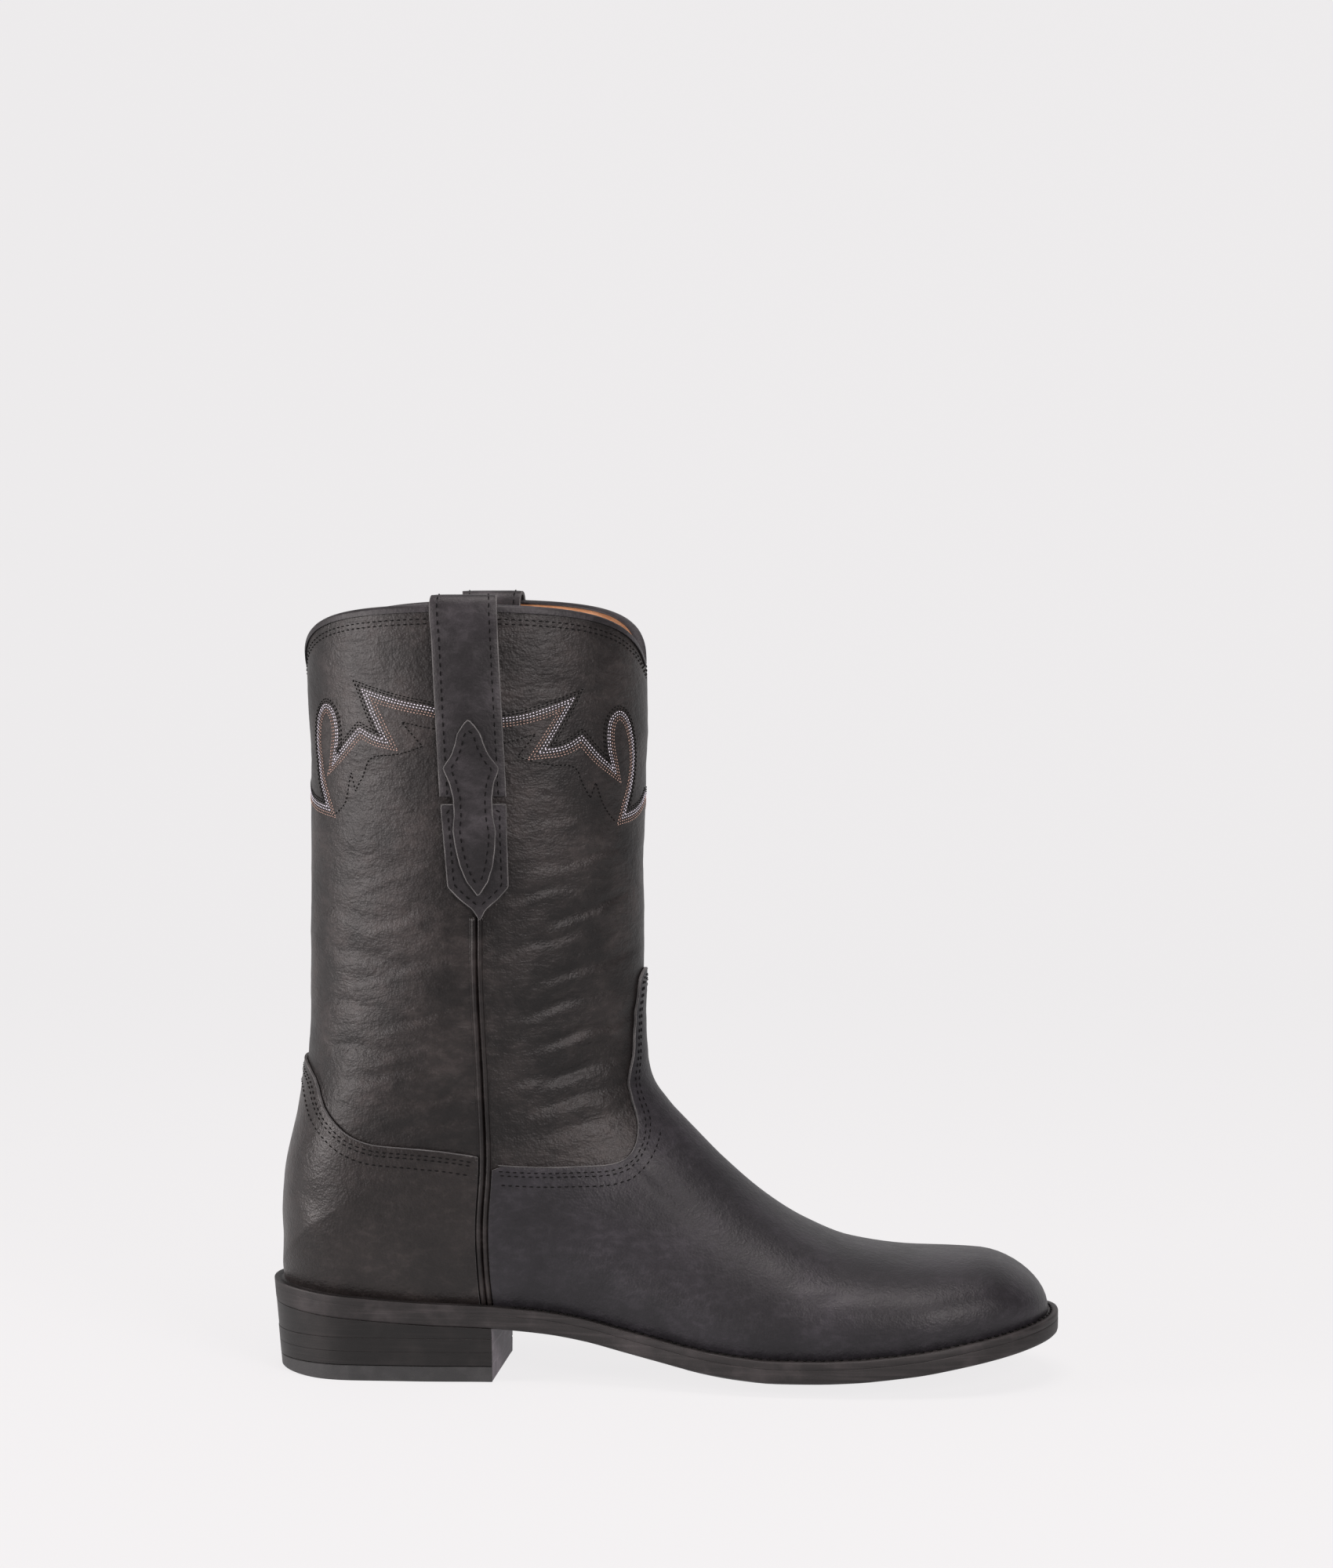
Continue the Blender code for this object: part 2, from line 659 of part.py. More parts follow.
def tread_rise(along):
    """Height of the heel's tread, which lifts a little towards the back."""
    depth = max(0.0, 1 - along / HEEL_BEVEL_LENGTH)
    return HEEL_BEVEL_RISE * depth ** 2


def heel_layer(name, low, high, parts, finish, top=None):
    """One layer of the heel between two heights, or up to a given face."""
    def span(inset):
        return inset, HEEL_LENGTH

    def flat_top(along, across):
        return high

    def bottom(along, across):
        return low if low > 0 else tread_rise(along)

    shares = spaced(SOLE_STATIONS // 2, True, False)
    mesh = plate_mesh(shares, span, heel_inset(high), heel_inset(low), top or flat_top, bottom)
    new_object(name, mesh, parts, finish)


def make_heel(parts):
    """Rubber cap, flat lifts and the wedge that meets the outsole."""
    heel_layer("heel_cap", 0.0, HEEL_CAP_THICKNESS, parts, BLACK_RUBBER)
    low = HEEL_CAP_THICKNESS + GAP
    for number in range(1, HEEL_LIFTS + 1):
        heel_layer(f"heel_lift_{number}", low, low + HEEL_LIFT_THICKNESS, parts, STACKED_LEATHER)
        low += HEEL_LIFT_THICKNESS + GAP

    def wedge_top(along, across):
        return outsole_bottom(along, across) - GAP

    heel_layer("heel_wedge", low, wedge_top(0, 0), parts, STACKED_LEATHER, wedge_top)


def piping_along(height):
    """Distance from the heel's back of the side piping at a height."""
    heights = [point.height * ANKLE_HEIGHT for point in PIPING_LINE]
    places = [point.along * SOLE_LENGTH for point in PIPING_LINE]
    return smooth(heights, places, height)


SEAM_STEPS = 12


def piping_edge(shift, low, high):
    """Points along the piping's line, moved along the foot by a shift."""
    heights = [low + (high - low) * k / SEAM_STEPS for k in range(SEAM_STEPS + 1)]
    return [(HEEL_BACK + piping_along(height) + shift, height) for height in heights]


def sole_edge_line(start, end):
    """Line just above the sole's upper face, seen from the side."""
    places = [start + (end - start) * k / SEAM_STEPS for k in range(SEAM_STEPS + 1)]
    return [(HEEL_BACK + place, top_line(place) + GAP) for place in places]


def curve_through(points, count):
    """Smooth run of points through a short line of points, by distance."""
    lengths = [0.0]
    for a, b in zip(points, points[1:]):
        lengths.append(lengths[-1] + math.dist(a, b))
    shares = [lengths[-1] * k / count for k in range(count + 1)]
    xs, zs = zip(*points)
    return [(smooth(lengths, xs, s), smooth(lengths, zs, s)) for s in shares]


def side_line(rows):
    """Points of a side-view line in metres."""
    return [(HEEL_BACK + row.along * SOLE_LENGTH, row.height * ANKLE_HEIGHT) for row in rows]


REACH = 0.040
LINE_POINTS = 18


def line_height(line, place):
    """Height of a smooth line where it passes a place along the foot."""
    places, heights = zip(*line)
    return smooth(places, heights, place)


def trim_line(line, seam_shift, before):
    """Part of a line on one side of the piping, ended on the piping's edge."""
    crossing = HEEL_BACK + piping_along(line_height(line[:3] if not before else line[-3:],
                                                    HEEL_BACK + PIPING_LINE[2].along * SOLE_LENGTH))
    crossing += seam_shift
    source = line if before else line
    kept = [point for point in source if (point[0] < crossing - MERGE) == before]
    meeting = (crossing, line_height(source[-3:] if before else source[:3], crossing))
    return kept + [meeting] if before else [meeting] + kept


def make_counter(parts, cutters):
    """Counter that wraps the heel up to its curved line."""
    line = curve_through(side_line(COUNTER_LINE), LINE_POINTS)
    shift = -(PIPING_WIDTH / 2 + GAP)
    upper_edge = trim_line(line, shift, before=True)
    high = upper_edge[-1][1]
    low = top_line(piping_along(0)) + GAP
    seam = list(reversed(piping_edge(shift, low, high)))[1:]
    floor = list(reversed(sole_edge_line(-REACH, piping_along(low) + shift)))[1:]
    back = [(HEEL_BACK - REACH, upper_edge[0][1])]
    outline = upper_edge + seam + floor + back
    cutter = prism("counter_cutter", outline, "Y", -BALL_WIDTH, BALL_WIDTH, cutters)
    skin_piece("counter", OVERLAY_GAP, OVERLAY_THICKNESS, cutter, parts)


def make_vamp(parts, cutters):
    """Vamp with the tongue that runs up the front of the shaft."""
    line = curve_through(side_line(VAMP_LINE), LINE_POINTS)
    shift = PIPING_WIDTH / 2 + GAP
    upper_edge = trim_line(line, shift, before=False)
    high = upper_edge[0][1]
    low = top_line(piping_along(0)) + GAP
    seam = piping_edge(shift, low, high)[:-1]
    ahead = SOLE_LENGTH + REACH
    floor = list(reversed(sole_edge_line(piping_along(low) + shift, ahead)))[:-1]
    front = [(HEEL_BACK + ahead, upper_edge[-1][1])]
    outline = seam + upper_edge + front + floor
    body = prism("vamp_cutter", outline, "Y", -BALL_WIDTH, BALL_WIDTH, cutters)
    right = [(-point.across * BALL_WIDTH, point.height * ANKLE_HEIGHT) for point in TONGUE_OUTLINE]
    left = [(-across, height) for across, height in reversed(right[:-1])]
    middle = HEEL_BACK + feather_place(FOOT_ROWS[-1].front)
    tongue = prism("tongue_cutter", right + left, "X", middle - REACH, middle + REACH, cutters)
    union = body.modifiers.new("tongue", "BOOLEAN")
    union.operation = "UNION"
    union.object = tongue
    skin_piece("vamp", OVERLAY_GAP, OVERLAY_THICKNESS, body, parts)


def side_name(side):
    """Name of a side of the boot."""
    return "lateral" if side == OUTER else "medial"


def side_cutter(name, outline, side, cutters):
    """Cutter for a piece on one side of the boot."""
    return prism(name, outline, "Y", 0.0, side * BALL_WIDTH, cutters)


def make_piping(side, parts, cutters):
    """Raised seam down one side, from under the strap to the sole."""
    low = top_line(piping_along(0)) + GAP
    high = strap_end_height() - STRAP_DROP * STRAP_BASE_OUTLINE[3].below - GAP
    half = PIPING_WIDTH / 2
    outline = piping_edge(half, low, high) + list(reversed(piping_edge(-half, low, high)))
    name = f"side_piping_{side_name(side)}"
    cutter = side_cutter(name + "_cutter", outline, side, cutters)
    skin_piece(name, OVERLAY_GAP, PIPING_THICKNESS, cutter, parts)


def strap_end_height():
    """Height of the strap's lower end."""
    return BOOT_HEIGHT - STRAP_DROP


def strap_middle(height, side):
    """Place along X of the strap's middle line at a height."""
    shift = STRAP_INNER_SHIFT if side == INNER else 0.0
    lean = STRAP_SLANT * (BOOT_HEIGHT - height) / STRAP_DROP
    return HEEL_BACK + STRAP_PLACE * SOLE_LENGTH + shift + lean


def side_outline(rows, side):
    """Outline of a piece stitched below the strap, in metres."""
    points = []
    for row in rows:
        height = strap_end_height() - row.below * STRAP_DROP
        points.append((strap_middle(height, side) + row.across * STRAP_WIDTH, height))
    return points


def make_strap_base(side, parts, cutters):
    """Pointed piece that carries on below the strap."""
    name = f"strap_base_{side_name(side)}"
    outline = side_outline(STRAP_BASE_OUTLINE, side)
    cutter = side_cutter(name + "_cutter", outline, side, cutters)
    skin_piece(name, OVERLAY_GAP, STRAP_THICKNESS, cutter, parts, SHAFT_START)


def make_strap_spear(side, parts, cutters):
    """Shaped piece over the joint of the strap and its base."""
    name = f"strap_spear_{side_name(side)}"
    outline = side_outline(SPEAR_OUTLINE, side)
    cutter = side_cutter(name + "_cutter", outline, side, cutters)
    offset = STRAP_GAP + STRAP_THICKNESS + GAP
    skin_piece(name, offset, OVERLAY_THICKNESS, cutter, parts, SHAFT_START)


def collar_frames():
    """Points round the collar with their outward and upward directions."""
    mesh = form_surface(0.0, SHAFT_START)
    rim = [vertex for vertex in mesh.verts
           if vertex.is_boundary and vertex.co.z > BOOT_HEIGHT - 2 * COLLAR_DIP]
    middle = sum((vertex.co for vertex in rim), Vector()) / len(rim)
    rim.sort(key=lambda vertex: math.atan2(vertex.co.y - middle.y, vertex.co.x - middle.x))
    frames = []
    for vertex in rim:
        normal = vertex.normal.copy()
        below = next(edge.other_vert(vertex) for edge in vertex.link_edges if not edge.is_boundary)
        up = vertex.co - below.co
        up -= normal * up.dot(normal)
        frames.append((vertex.co.copy(), normal, up.normalized()))
    mesh.free()
    return frames


def make_binding(parts):
    """Bound edge that folds over the collar."""
    near, far = BINDING_GAP, BINDING_GAP + BINDING_THICKNESS
    section = (
        (near, -BINDING_HEIGHT), (far, -BINDING_HEIGHT), (far, far),
        (-WALL - far, far), (-WALL - far, -BINDING_HEIGHT), (-WALL - near, -BINDING_HEIGHT),
        (-WALL - near, near), (near, near))
    rings = []
    for point, outward, up in collar_frames():
        rings.append([point + outward * out + up * rise for out, rise in section])
    new_object("collar_binding", tube_mesh(rings, closed=True), parts, BLACK_LEATHER)


# The strap clears the collar's binding, then steps in to lie on the upper. The
# wall is found a little below the collar's edge.
STRAP_CLEAR = BINDING_GAP + BINDING_THICKNESS + STRAP_GAP
COLLAR_EDGE_MARGIN = 0.0015
STRAP_STEP_START = 0.004
STRAP_STEP_LENGTH = 0.008
STRAP_LEVELS = 7
STRAP_INSIDE_LEVELS = 4


def strap_offset(drop):
    """Distance of the strap's inner face from the upper, below the edge."""
    share = min(1.0, max(0.0, (drop - STRAP_STEP_START) / STRAP_STEP_LENGTH))
    return STRAP_CLEAR + (STRAP_GAP - STRAP_CLEAR) * share


def surface_finder():
    """Function that finds the upper's outside from one side at x and z."""
    mesh = form_surface(0.0)
    tree = BVHTree.FromBMesh(mesh)
    mesh.free()

    def find(x, z, side):
        start = Vector((x, side * 2 * BALL_WIDTH, z))
        point, normal, _, _ = tree.ray_cast(start, Vector((0, -side, 0)))
        return point, normal

    return find


def strap_column(find, share, side):
    """Outer and inner faces of the strap along one line of its length."""
    edge = BOOT_HEIGHT - MERGE - COLLAR_EDGE_MARGIN
    drops = [STRAP_DROP * (k / STRAP_LEVELS) ** 1.5 for k in range(STRAP_LEVELS, 0, -1)]
    drops.append(0.0)
    outer_face, inner_face = [], []
    for drop in drops:
        height = min(edge, BOOT_HEIGHT - drop)
        x = strap_middle(height, side) + share * STRAP_WIDTH
        point, normal = find(x, height, side)
        near = strap_offset(drop)
        inner_face.append(point + normal * near)
        outer_face.append(point + normal * (near + STRAP_THICKNESS))
    point, normal = find(strap_middle(edge, side) + share * STRAP_WIDTH, edge, side)
    up = Vector((0, 0, 1))
    rise = COLLAR_EDGE_MARGIN + STRAP_CLEAR + STRAP_LOOP_RISE
    middle = point - normal * (WALL / 2) + up * rise
    for turn in (0.25, 0.5, 0.75):
        angle = math.pi * turn
        corner = middle + normal * (WALL / 2 + STRAP_CLEAR) * round(math.cos(angle))
        inner_face.append(corner)
        outwards = normal * math.cos(angle) + up * math.sin(angle)
        outer_face.append(corner + outwards * STRAP_THICKNESS)
    for k in range(STRAP_INSIDE_LEVELS + 1):
        drop = STRAP_INSIDE_DROP * k / STRAP_INSIDE_LEVELS
        height = min(edge, BOOT_HEIGHT - drop)
        x = strap_middle(height, side) + share * STRAP_WIDTH
        point, normal = find(x, height, side)
        near = WALL + strap_offset(drop)
        inner_face.append(point - normal * near)
        outer_face.append(point - normal * (near + STRAP_THICKNESS))
    return outer_face, inner_face


def make_pull_strap(find, side, parts):
    """Strap sewn outside and inside the shaft, looped over the collar."""
    outer_faces, inner_faces = [], []
    for k in range(STRAP_COLUMNS + 1):
        outer_face, inner_face = strap_column(find, k / STRAP_COLUMNS - 0.5, side)
        outer_faces.append(outer_face)
        inner_faces.append(inner_face)
    mesh = sheet_solid(outer_faces, inner_faces)
    new_object(f"pull_strap_{side_name(side)}", mesh, parts, BLACK_LEATHER)


def make_upper(parts):
    """Hollow upper, open at the collar and along the feather edge."""
    upper = new_object("upper", form_surface(0.0), parts, BLACK_LEATHER)
    add_wall(upper, WALL, outward=False)


def main():
    """Build every piece."""
    clear_scene()
    parts = new_collection("roper_boot")
    cutters = new_collection("cutters")
    make_upper(parts)
    make_sole(parts)
    make_heel(parts)
    make_counter(parts, cutters)
    make_vamp(parts, cutters)
    make_binding(parts)
    find = surface_finder()
    for side in (OUTER, INNER):
        make_piping(side, parts, cutters)
        make_strap_base(side, parts, cutters)
        make_strap_spear(side, parts, cutters)
        make_pull_strap(find, side, parts)


main()
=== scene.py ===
"""Dresses the roper boot: fine leather form, overlays, seams, sole, heel and studio."""

import logging
import math
from bisect import bisect_right
from dataclasses import dataclass
from enum import Enum
from typing import Callable, NamedTuple, Optional, Sequence, Union

import bmesh
import bpy
from mathutils import Matrix, Vector, noise
from mathutils.bvhtree import BVHTree


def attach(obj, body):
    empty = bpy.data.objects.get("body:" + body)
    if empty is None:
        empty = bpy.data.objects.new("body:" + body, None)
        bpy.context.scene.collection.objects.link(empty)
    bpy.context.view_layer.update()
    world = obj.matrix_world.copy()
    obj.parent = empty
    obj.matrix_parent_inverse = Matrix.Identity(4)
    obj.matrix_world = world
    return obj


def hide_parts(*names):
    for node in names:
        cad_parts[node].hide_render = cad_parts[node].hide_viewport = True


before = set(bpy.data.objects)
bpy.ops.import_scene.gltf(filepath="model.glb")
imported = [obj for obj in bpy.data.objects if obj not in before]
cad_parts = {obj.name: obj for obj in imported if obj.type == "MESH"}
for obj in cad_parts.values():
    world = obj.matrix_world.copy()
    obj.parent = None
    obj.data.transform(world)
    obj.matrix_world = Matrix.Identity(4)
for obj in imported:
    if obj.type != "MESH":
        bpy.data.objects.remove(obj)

log = logging.getLogger("roper_boot")

MM = 0.001
Colour = tuple[float, float, float]
Mesh = bmesh.types.BMesh


class Side(Enum):
    """Side of the foot, with its direction along Y."""

    OUTER = -1
    INNER = 1

    @property
    def label(self) -> str:
        """Word for the side in the names of pieces."""
        return "lateral" if self is Side.OUTER else "medial"


def rows_of(kind: type, rows: Sequence[tuple]) -> tuple:
    """Table of plain rows as rows with named columns."""
    return tuple(kind(*row) for row in rows)


# Sizes of the boot


@dataclass(frozen=True)
class BootSizes:
    """Driving sizes of the boot, in metres."""

    sole_length: float = 0.3065
    ball_width: float = 0.106
    boot_height: float = 0.299
    ankle_height: float = 0.143
    shaft_width: float = 0.102
    collar_dip: float = 0.023
    seat_height: float = 0.036
    toe_spring: float = 0.0124
    wall: float = 0.0022
    welt_thickness: float = 0.0030
    outsole_thickness: float = 0.0053
    tread_crown: float = 0.0065
    tread_flat_depth: float = 0.0012
    gap: float = 0.0003
    feather_inset: float = 0.0053
    toe_round: float = 0.055
    heel_round: float = 0.038
    corner_power: float = 2.2
    heel_length: float = 0.0898
    heel_rake: float = 0.0028
    heel_bevel_rise: float = 0.0020
    heel_bevel_length: float = 0.026
    toe_face_depth: float = 0.026
    strap_width: float = 0.0245
    strap_place: float = 0.274
    strap_drop: float = 0.0715
    strap_inside_drop: float = 0.045
    strap_slant: float = 0.0030
    strap_inner_shift: float = -0.0030
    collar_curve_spread: float = 0.31
    collar_curve_power: float = 1.2

    @property
    def feather_length(self) -> float:
        """Length of the upper where it meets the sole."""
        return self.sole_length - 2 * self.feather_inset

    @property
    def heel_back(self) -> float:
        """Place of the heel's back, with the origin under the middle of the heel."""
        return -(self.heel_length + self.heel_rake) / 2

    @property
    def tread_top(self) -> float:
        """Height of the sole's upper face over the tread."""
        stack = self.welt_thickness + self.gap + self.outsole_thickness
        return stack + self.tread_crown - self.tread_flat_depth

    @property
    def collar_low(self) -> float:
        """Height of the collar at its front and back."""
        return self.boot_height - self.collar_dip


class SoleRow(NamedTuple):
    """Sole at a share of its length: half widths, heights and crown as shares."""

    along: float
    outer: float
    inner: float
    heel_rise: float
    toe_rise: float
    crown: float


SOLE_ROWS = rows_of(SoleRow, (
    (0.000, 0.292, 0.292, 1.00, 0.00, 0.0),
    (0.100, 0.311, 0.311, 0.87, 0.00, 0.0),
    (0.200, 0.311, 0.311, 0.77, 0.00, 0.0),
    (0.295, 0.300, 0.292, 0.71, 0.00, 0.0),
    (0.360, 0.304, 0.272, 0.64, 0.00, 0.0),
    (0.410, 0.320, 0.265, 0.54, 0.00, 0.1),
    (0.460, 0.347, 0.280, 0.39, 0.00, 0.3),
    (0.505, 0.377, 0.310, 0.26, 0.00, 0.6),
    (0.555, 0.418, 0.360, 0.13, 0.00, 0.9),
    (0.605, 0.443, 0.416, 0.04, 0.00, 1.0),
    (0.650, 0.461, 0.465, 0.00, 0.00, 1.0),
    (0.700, 0.470, 0.508, 0.00, 0.01, 1.0),
    (0.750, 0.472, 0.526, 0.00, 0.07, 1.0),
    (0.820, 0.460, 0.520, 0.00, 0.25, 0.8),
    (0.880, 0.438, 0.498, 0.00, 0.48, 0.5),
    (0.945, 0.412, 0.468, 0.00, 0.74, 0.2),
    (1.000, 0.390, 0.446, 0.00, 1.00, 0.0),
))


class FootRow(NamedTuple):
    """Rib of the upper over the foot, from the ridge down to the feather edge."""

    front: float
    front_height: float
    edge: float
    outer: float
    inner: float
    widest: float
    ridge: float
    bend: float


FOOT_ROWS = rows_of(FootRow, (
    (1.000, 0.314, 1.000, 0.385, 0.430, 0.72, 2.3, 0.00),
    (0.915, 0.324, 0.915, 0.395, 0.442, 0.72, 2.3, 0.00),
    (0.830, 0.328, 0.830, 0.428, 0.478, 0.72, 2.2, 0.00),
    (0.746, 0.352, 0.739, 0.444, 0.490, 0.72, 2.1, 0.00),
    (0.685, 0.405, 0.668, 0.446, 0.458, 0.74, 2.0, 0.00),
    (0.631, 0.479, 0.590, 0.424, 0.406, 0.75, 1.9, 0.00),
    (0.580, 0.571, 0.496, 0.388, 0.358, 0.75, 1.85, 0.00),
    (0.534, 0.667, 0.408, 0.353, 0.337, 0.72, 1.85, 0.00),
    (0.502, 0.738, 0.330, 0.337, 0.327, 0.68, 1.9, 0.15),
    (0.484, 0.796, 0.252, 0.338, 0.333, 0.64, 1.95, 0.35),
    (0.477, 0.848, 0.178, 0.346, 0.345, 0.60, 2.0, 0.55),
    (0.475, 0.892, 0.110, 0.357, 0.357, 0.57, 2.0, 0.75),
    (0.474, 0.932, 0.050, 0.367, 0.367, 0.55, 2.0, 0.90),
    (0.474, 0.961, 0.018, 0.373, 0.373, 0.538, 2.0, 1.00),
    (0.474, 0.981, 0.005, 0.376, 0.376, 0.530, 2.0, 1.00),
    (0.474, 1.000, 0.000, 0.379, 0.379, 0.525, 2.0, 1.00),
))


class ShaftRow(NamedTuple):
    """Rib of the upper over the ankle and shaft, from the front to the back line."""

    front: float
    front_height: float
    back: float
    back_height: float
    width: float
    follow: float
    lift: float
    bend: float


SHAFT_ROWS = rows_of(ShaftRow, (
    (0.475, 0.045, 0.001, 0.050, 0.402, 0.92, 0.0, 0.92),
    (0.475, 0.097, -0.001, 0.100, 0.412, 0.80, 0.0, 0.80),
    (0.476, 0.164, 0.002, 0.162, 0.422, 0.66, 0.0, 0.64),
    (0.476, 0.239, 0.011, 0.224, 0.433, 0.50, 0.0, 0.46),
    (0.476, 0.321, 0.023, 0.290, 0.446, 0.34, 0.0, 0.28),
    (0.476, 0.403, 0.031, 0.361, 0.458, 0.20, 0.0, 0.12),
    (0.477, 0.485, 0.034, 0.452, 0.469, 0.08, 0.0, 0.00),
    (0.478, 0.590, 0.036, 0.564, 0.480, 0.00, 0.0, 0.00),
    (0.480, 0.709, 0.038, 0.693, 0.490, 0.00, 0.05, 0.00),
    (0.482, 0.828, 0.038, 0.826, 0.497, 0.00, 0.30, 0.00),
    (0.482, 0.918, 0.036, 0.938, 0.500, 0.00, 0.68, 0.00),
    (0.478, 1.000, 0.034, 1.000, 0.500, 0.00, 1.0, 0.00),
))


class LinePoint(NamedTuple):
    """Point in side view: along of the sole's length, height of the ankle's."""

    along: float
    height: float


PIPING_LINE = rows_of(LinePoint, (
    (0.286, 0.19),
    (0.284, 0.40),
    (0.290, 0.62),
    (0.288, 0.82),
    (0.285, 1.11),
    (0.286, 1.28),
))
COUNTER_LINE = rows_of(LinePoint, (
    (0.030, 0.885),
    (0.052, 0.850),
    (0.072, 0.810),
    (0.084, 0.750),
    (0.102, 0.706),
    (0.124, 0.672),
    (0.152, 0.654),
    (0.190, 0.648),
    (0.234, 0.640),
    (0.310, 0.612),
))
VAMP_LINE = rows_of(LinePoint, (
    (0.250, 0.618),
    (0.320, 0.598),
    (0.380, 0.592),
    (0.432, 0.592),
    (0.456, 0.600),
    (0.468, 0.622),
    (0.475, 0.660),
    (0.478, 0.715),
    (0.475, 0.780),
    (0.475, 0.830),
))


class AcrossPoint(NamedTuple):
    """Point of the tongue in front view: half width of the ball's, height of the ankle's."""

    across: float
    height: float


TONGUE_OUTLINE = rows_of(AcrossPoint, (
    (0.150, 0.780),
    (0.118, 0.860),
    (0.102, 0.930),
    (0.095, 1.010),
    (0.080, 1.070),
    (0.046, 1.095),
    (0.000, 1.104),
))


class SidePoint(NamedTuple):
    """Point of a strap piece: across of the strap's width, below of its drop."""

    across: float
    below: float


STRAP_BASE_TIP = 0.66
STRAP_BASE_HALF = rows_of(SidePoint, (
    (-0.50, 0.04),
    (-0.48, 0.20),
    (-0.47, 0.36),
    (-0.46, 0.48),
    (-0.30, 0.54),
    (-0.10, 0.60),
    (0.00, STRAP_BASE_TIP),
))
SPEAR_HALF = rows_of(SidePoint, (
    (0.00, -0.41),
    (-0.09, -0.375),
    (-0.17, -0.335),
    (-0.21, -0.28),
    (-0.28, -0.22),
    (-0.42, -0.15),
    (-0.33, -0.07),
    (-0.29, 0.01),
    (-0.29, 0.10),
    (-0.32, 0.18),
    (-0.30, 0.26),
    (-0.25, 0.36),
    (-0.16, 0.45),
    (0.00, 0.53),
))


class SmoothCurve:
    """Curve through values that never overshoots them."""

    def __init__(self, places: Sequence[float], values: Sequence[float]) -> None:
        """Keep the points and work out a tangent at each.

        Args:
            places: Rising positions of the values.
            values: Value at each position.
        """
        self.places = list(places)
        self.values = list(values)
        self.steps = [b - a for a, b in zip(self.places, self.places[1:])]
        rises = [b - a for a, b in zip(self.values, self.values[1:])]
        slopes = [rise / step for rise, step in zip(rises, self.steps)]
        inner = [0.0 if a * b <= 0 else 2 * a * b / (a + b) for a, b in zip(slopes, slopes[1:])]
        self.tangents = [slopes[0]] + inner + [slopes[-1]]

    def at(self, place: float) -> float:
        """Value of the curve at a place."""
        if place <= self.places[0]:
            return self.values[0]
        if place >= self.places[-1]:
            return self.values[-1]
        i = bisect_right(self.places, place) - 1
        t = (place - self.places[i]) / self.steps[i]
        rise = self.values[i + 1] - self.values[i]
        start = self.tangents[i] * self.steps[i]
        end = self.tangents[i + 1] * self.steps[i]
        bow = 3 * rise - 2 * start - end + t * (start + end - 2 * rise)
        return self.values[i] + t * (start + t * bow)


def smooth_step(low: float, high: float, value: float) -> float:
    """Soft rise from 0 at low to 1 at high."""
    share = min(1.0, max(0.0, (value - low) / (high - low)))
    return share * share * (3 - 2 * share)


class SolePlan:
    """Plan, top line and tread of the sole."""

    def __init__(self, sizes: BootSizes) -> None:
        """Read the sole's table into smooth curves."""
        self.sizes = sizes
        along = [row.along for row in SOLE_ROWS]
        self.half = {
            Side.OUTER: SmoothCurve(along, [row.outer for row in SOLE_ROWS]),
            Side.INNER: SmoothCurve(along, [row.inner for row in SOLE_ROWS]),
        }
        self.heel_rise = SmoothCurve(along, [row.heel_rise for row in SOLE_ROWS])
        self.toe_rise = SmoothCurve(along, [row.toe_rise for row in SOLE_ROWS])
        self.crown = SmoothCurve(along, [row.crown for row in SOLE_ROWS])

    def rounded_end(self, depth: float) -> float:
        """Width left at a share of the depth of a rounded end."""
        if depth <= 0:
            return 1.0
        if depth >= 1:
            return 0.0
        power = self.sizes.corner_power
        return (1 - depth ** power) ** (1 / power)

    def toe_factor(self, along: float, inset: float) -> float:
        """How far the round toe narrows the plan at a distance from the heel."""
        sizes = self.sizes
        depth = (along - sizes.sole_length + sizes.toe_round) / (sizes.toe_round - inset)
        return self.rounded_end(depth)

    def half_width(self, along: float, side: Side, inset: float) -> float:
        """Half width of the plan at a distance from the heel, drawn in by an inset."""
        sizes = self.sizes
        half = self.half[side].at(along / sizes.sole_length) * sizes.ball_width - inset
        heel = self.rounded_end((sizes.heel_round - along) / (sizes.heel_round - inset))
        return half * heel * self.toe_factor(along, inset)

    def top(self, along: float) -> float:
        """Height of the welt's upper face."""
        sizes = self.sizes
        share = along / sizes.sole_length
        heel = self.heel_rise.at(share) * (sizes.seat_height - sizes.tread_top)
        return sizes.tread_top + heel + self.toe_rise.at(share) * sizes.toe_spring

    def outsole_top(self, along: float) -> float:
        """Height of the outsole's upper face."""
        return self.top(along) - self.sizes.welt_thickness - self.sizes.gap

    def tread(self, along: float, across: float) -> float:
        """Height of the outsole's lower face, across from -1 to 1."""
        sizes = self.sizes
        drop = self.crown.at(along / sizes.sole_length) * sizes.tread_crown * (1 - across ** 2)
        return max(0.0, self.outsole_top(along) - sizes.outsole_thickness - drop)


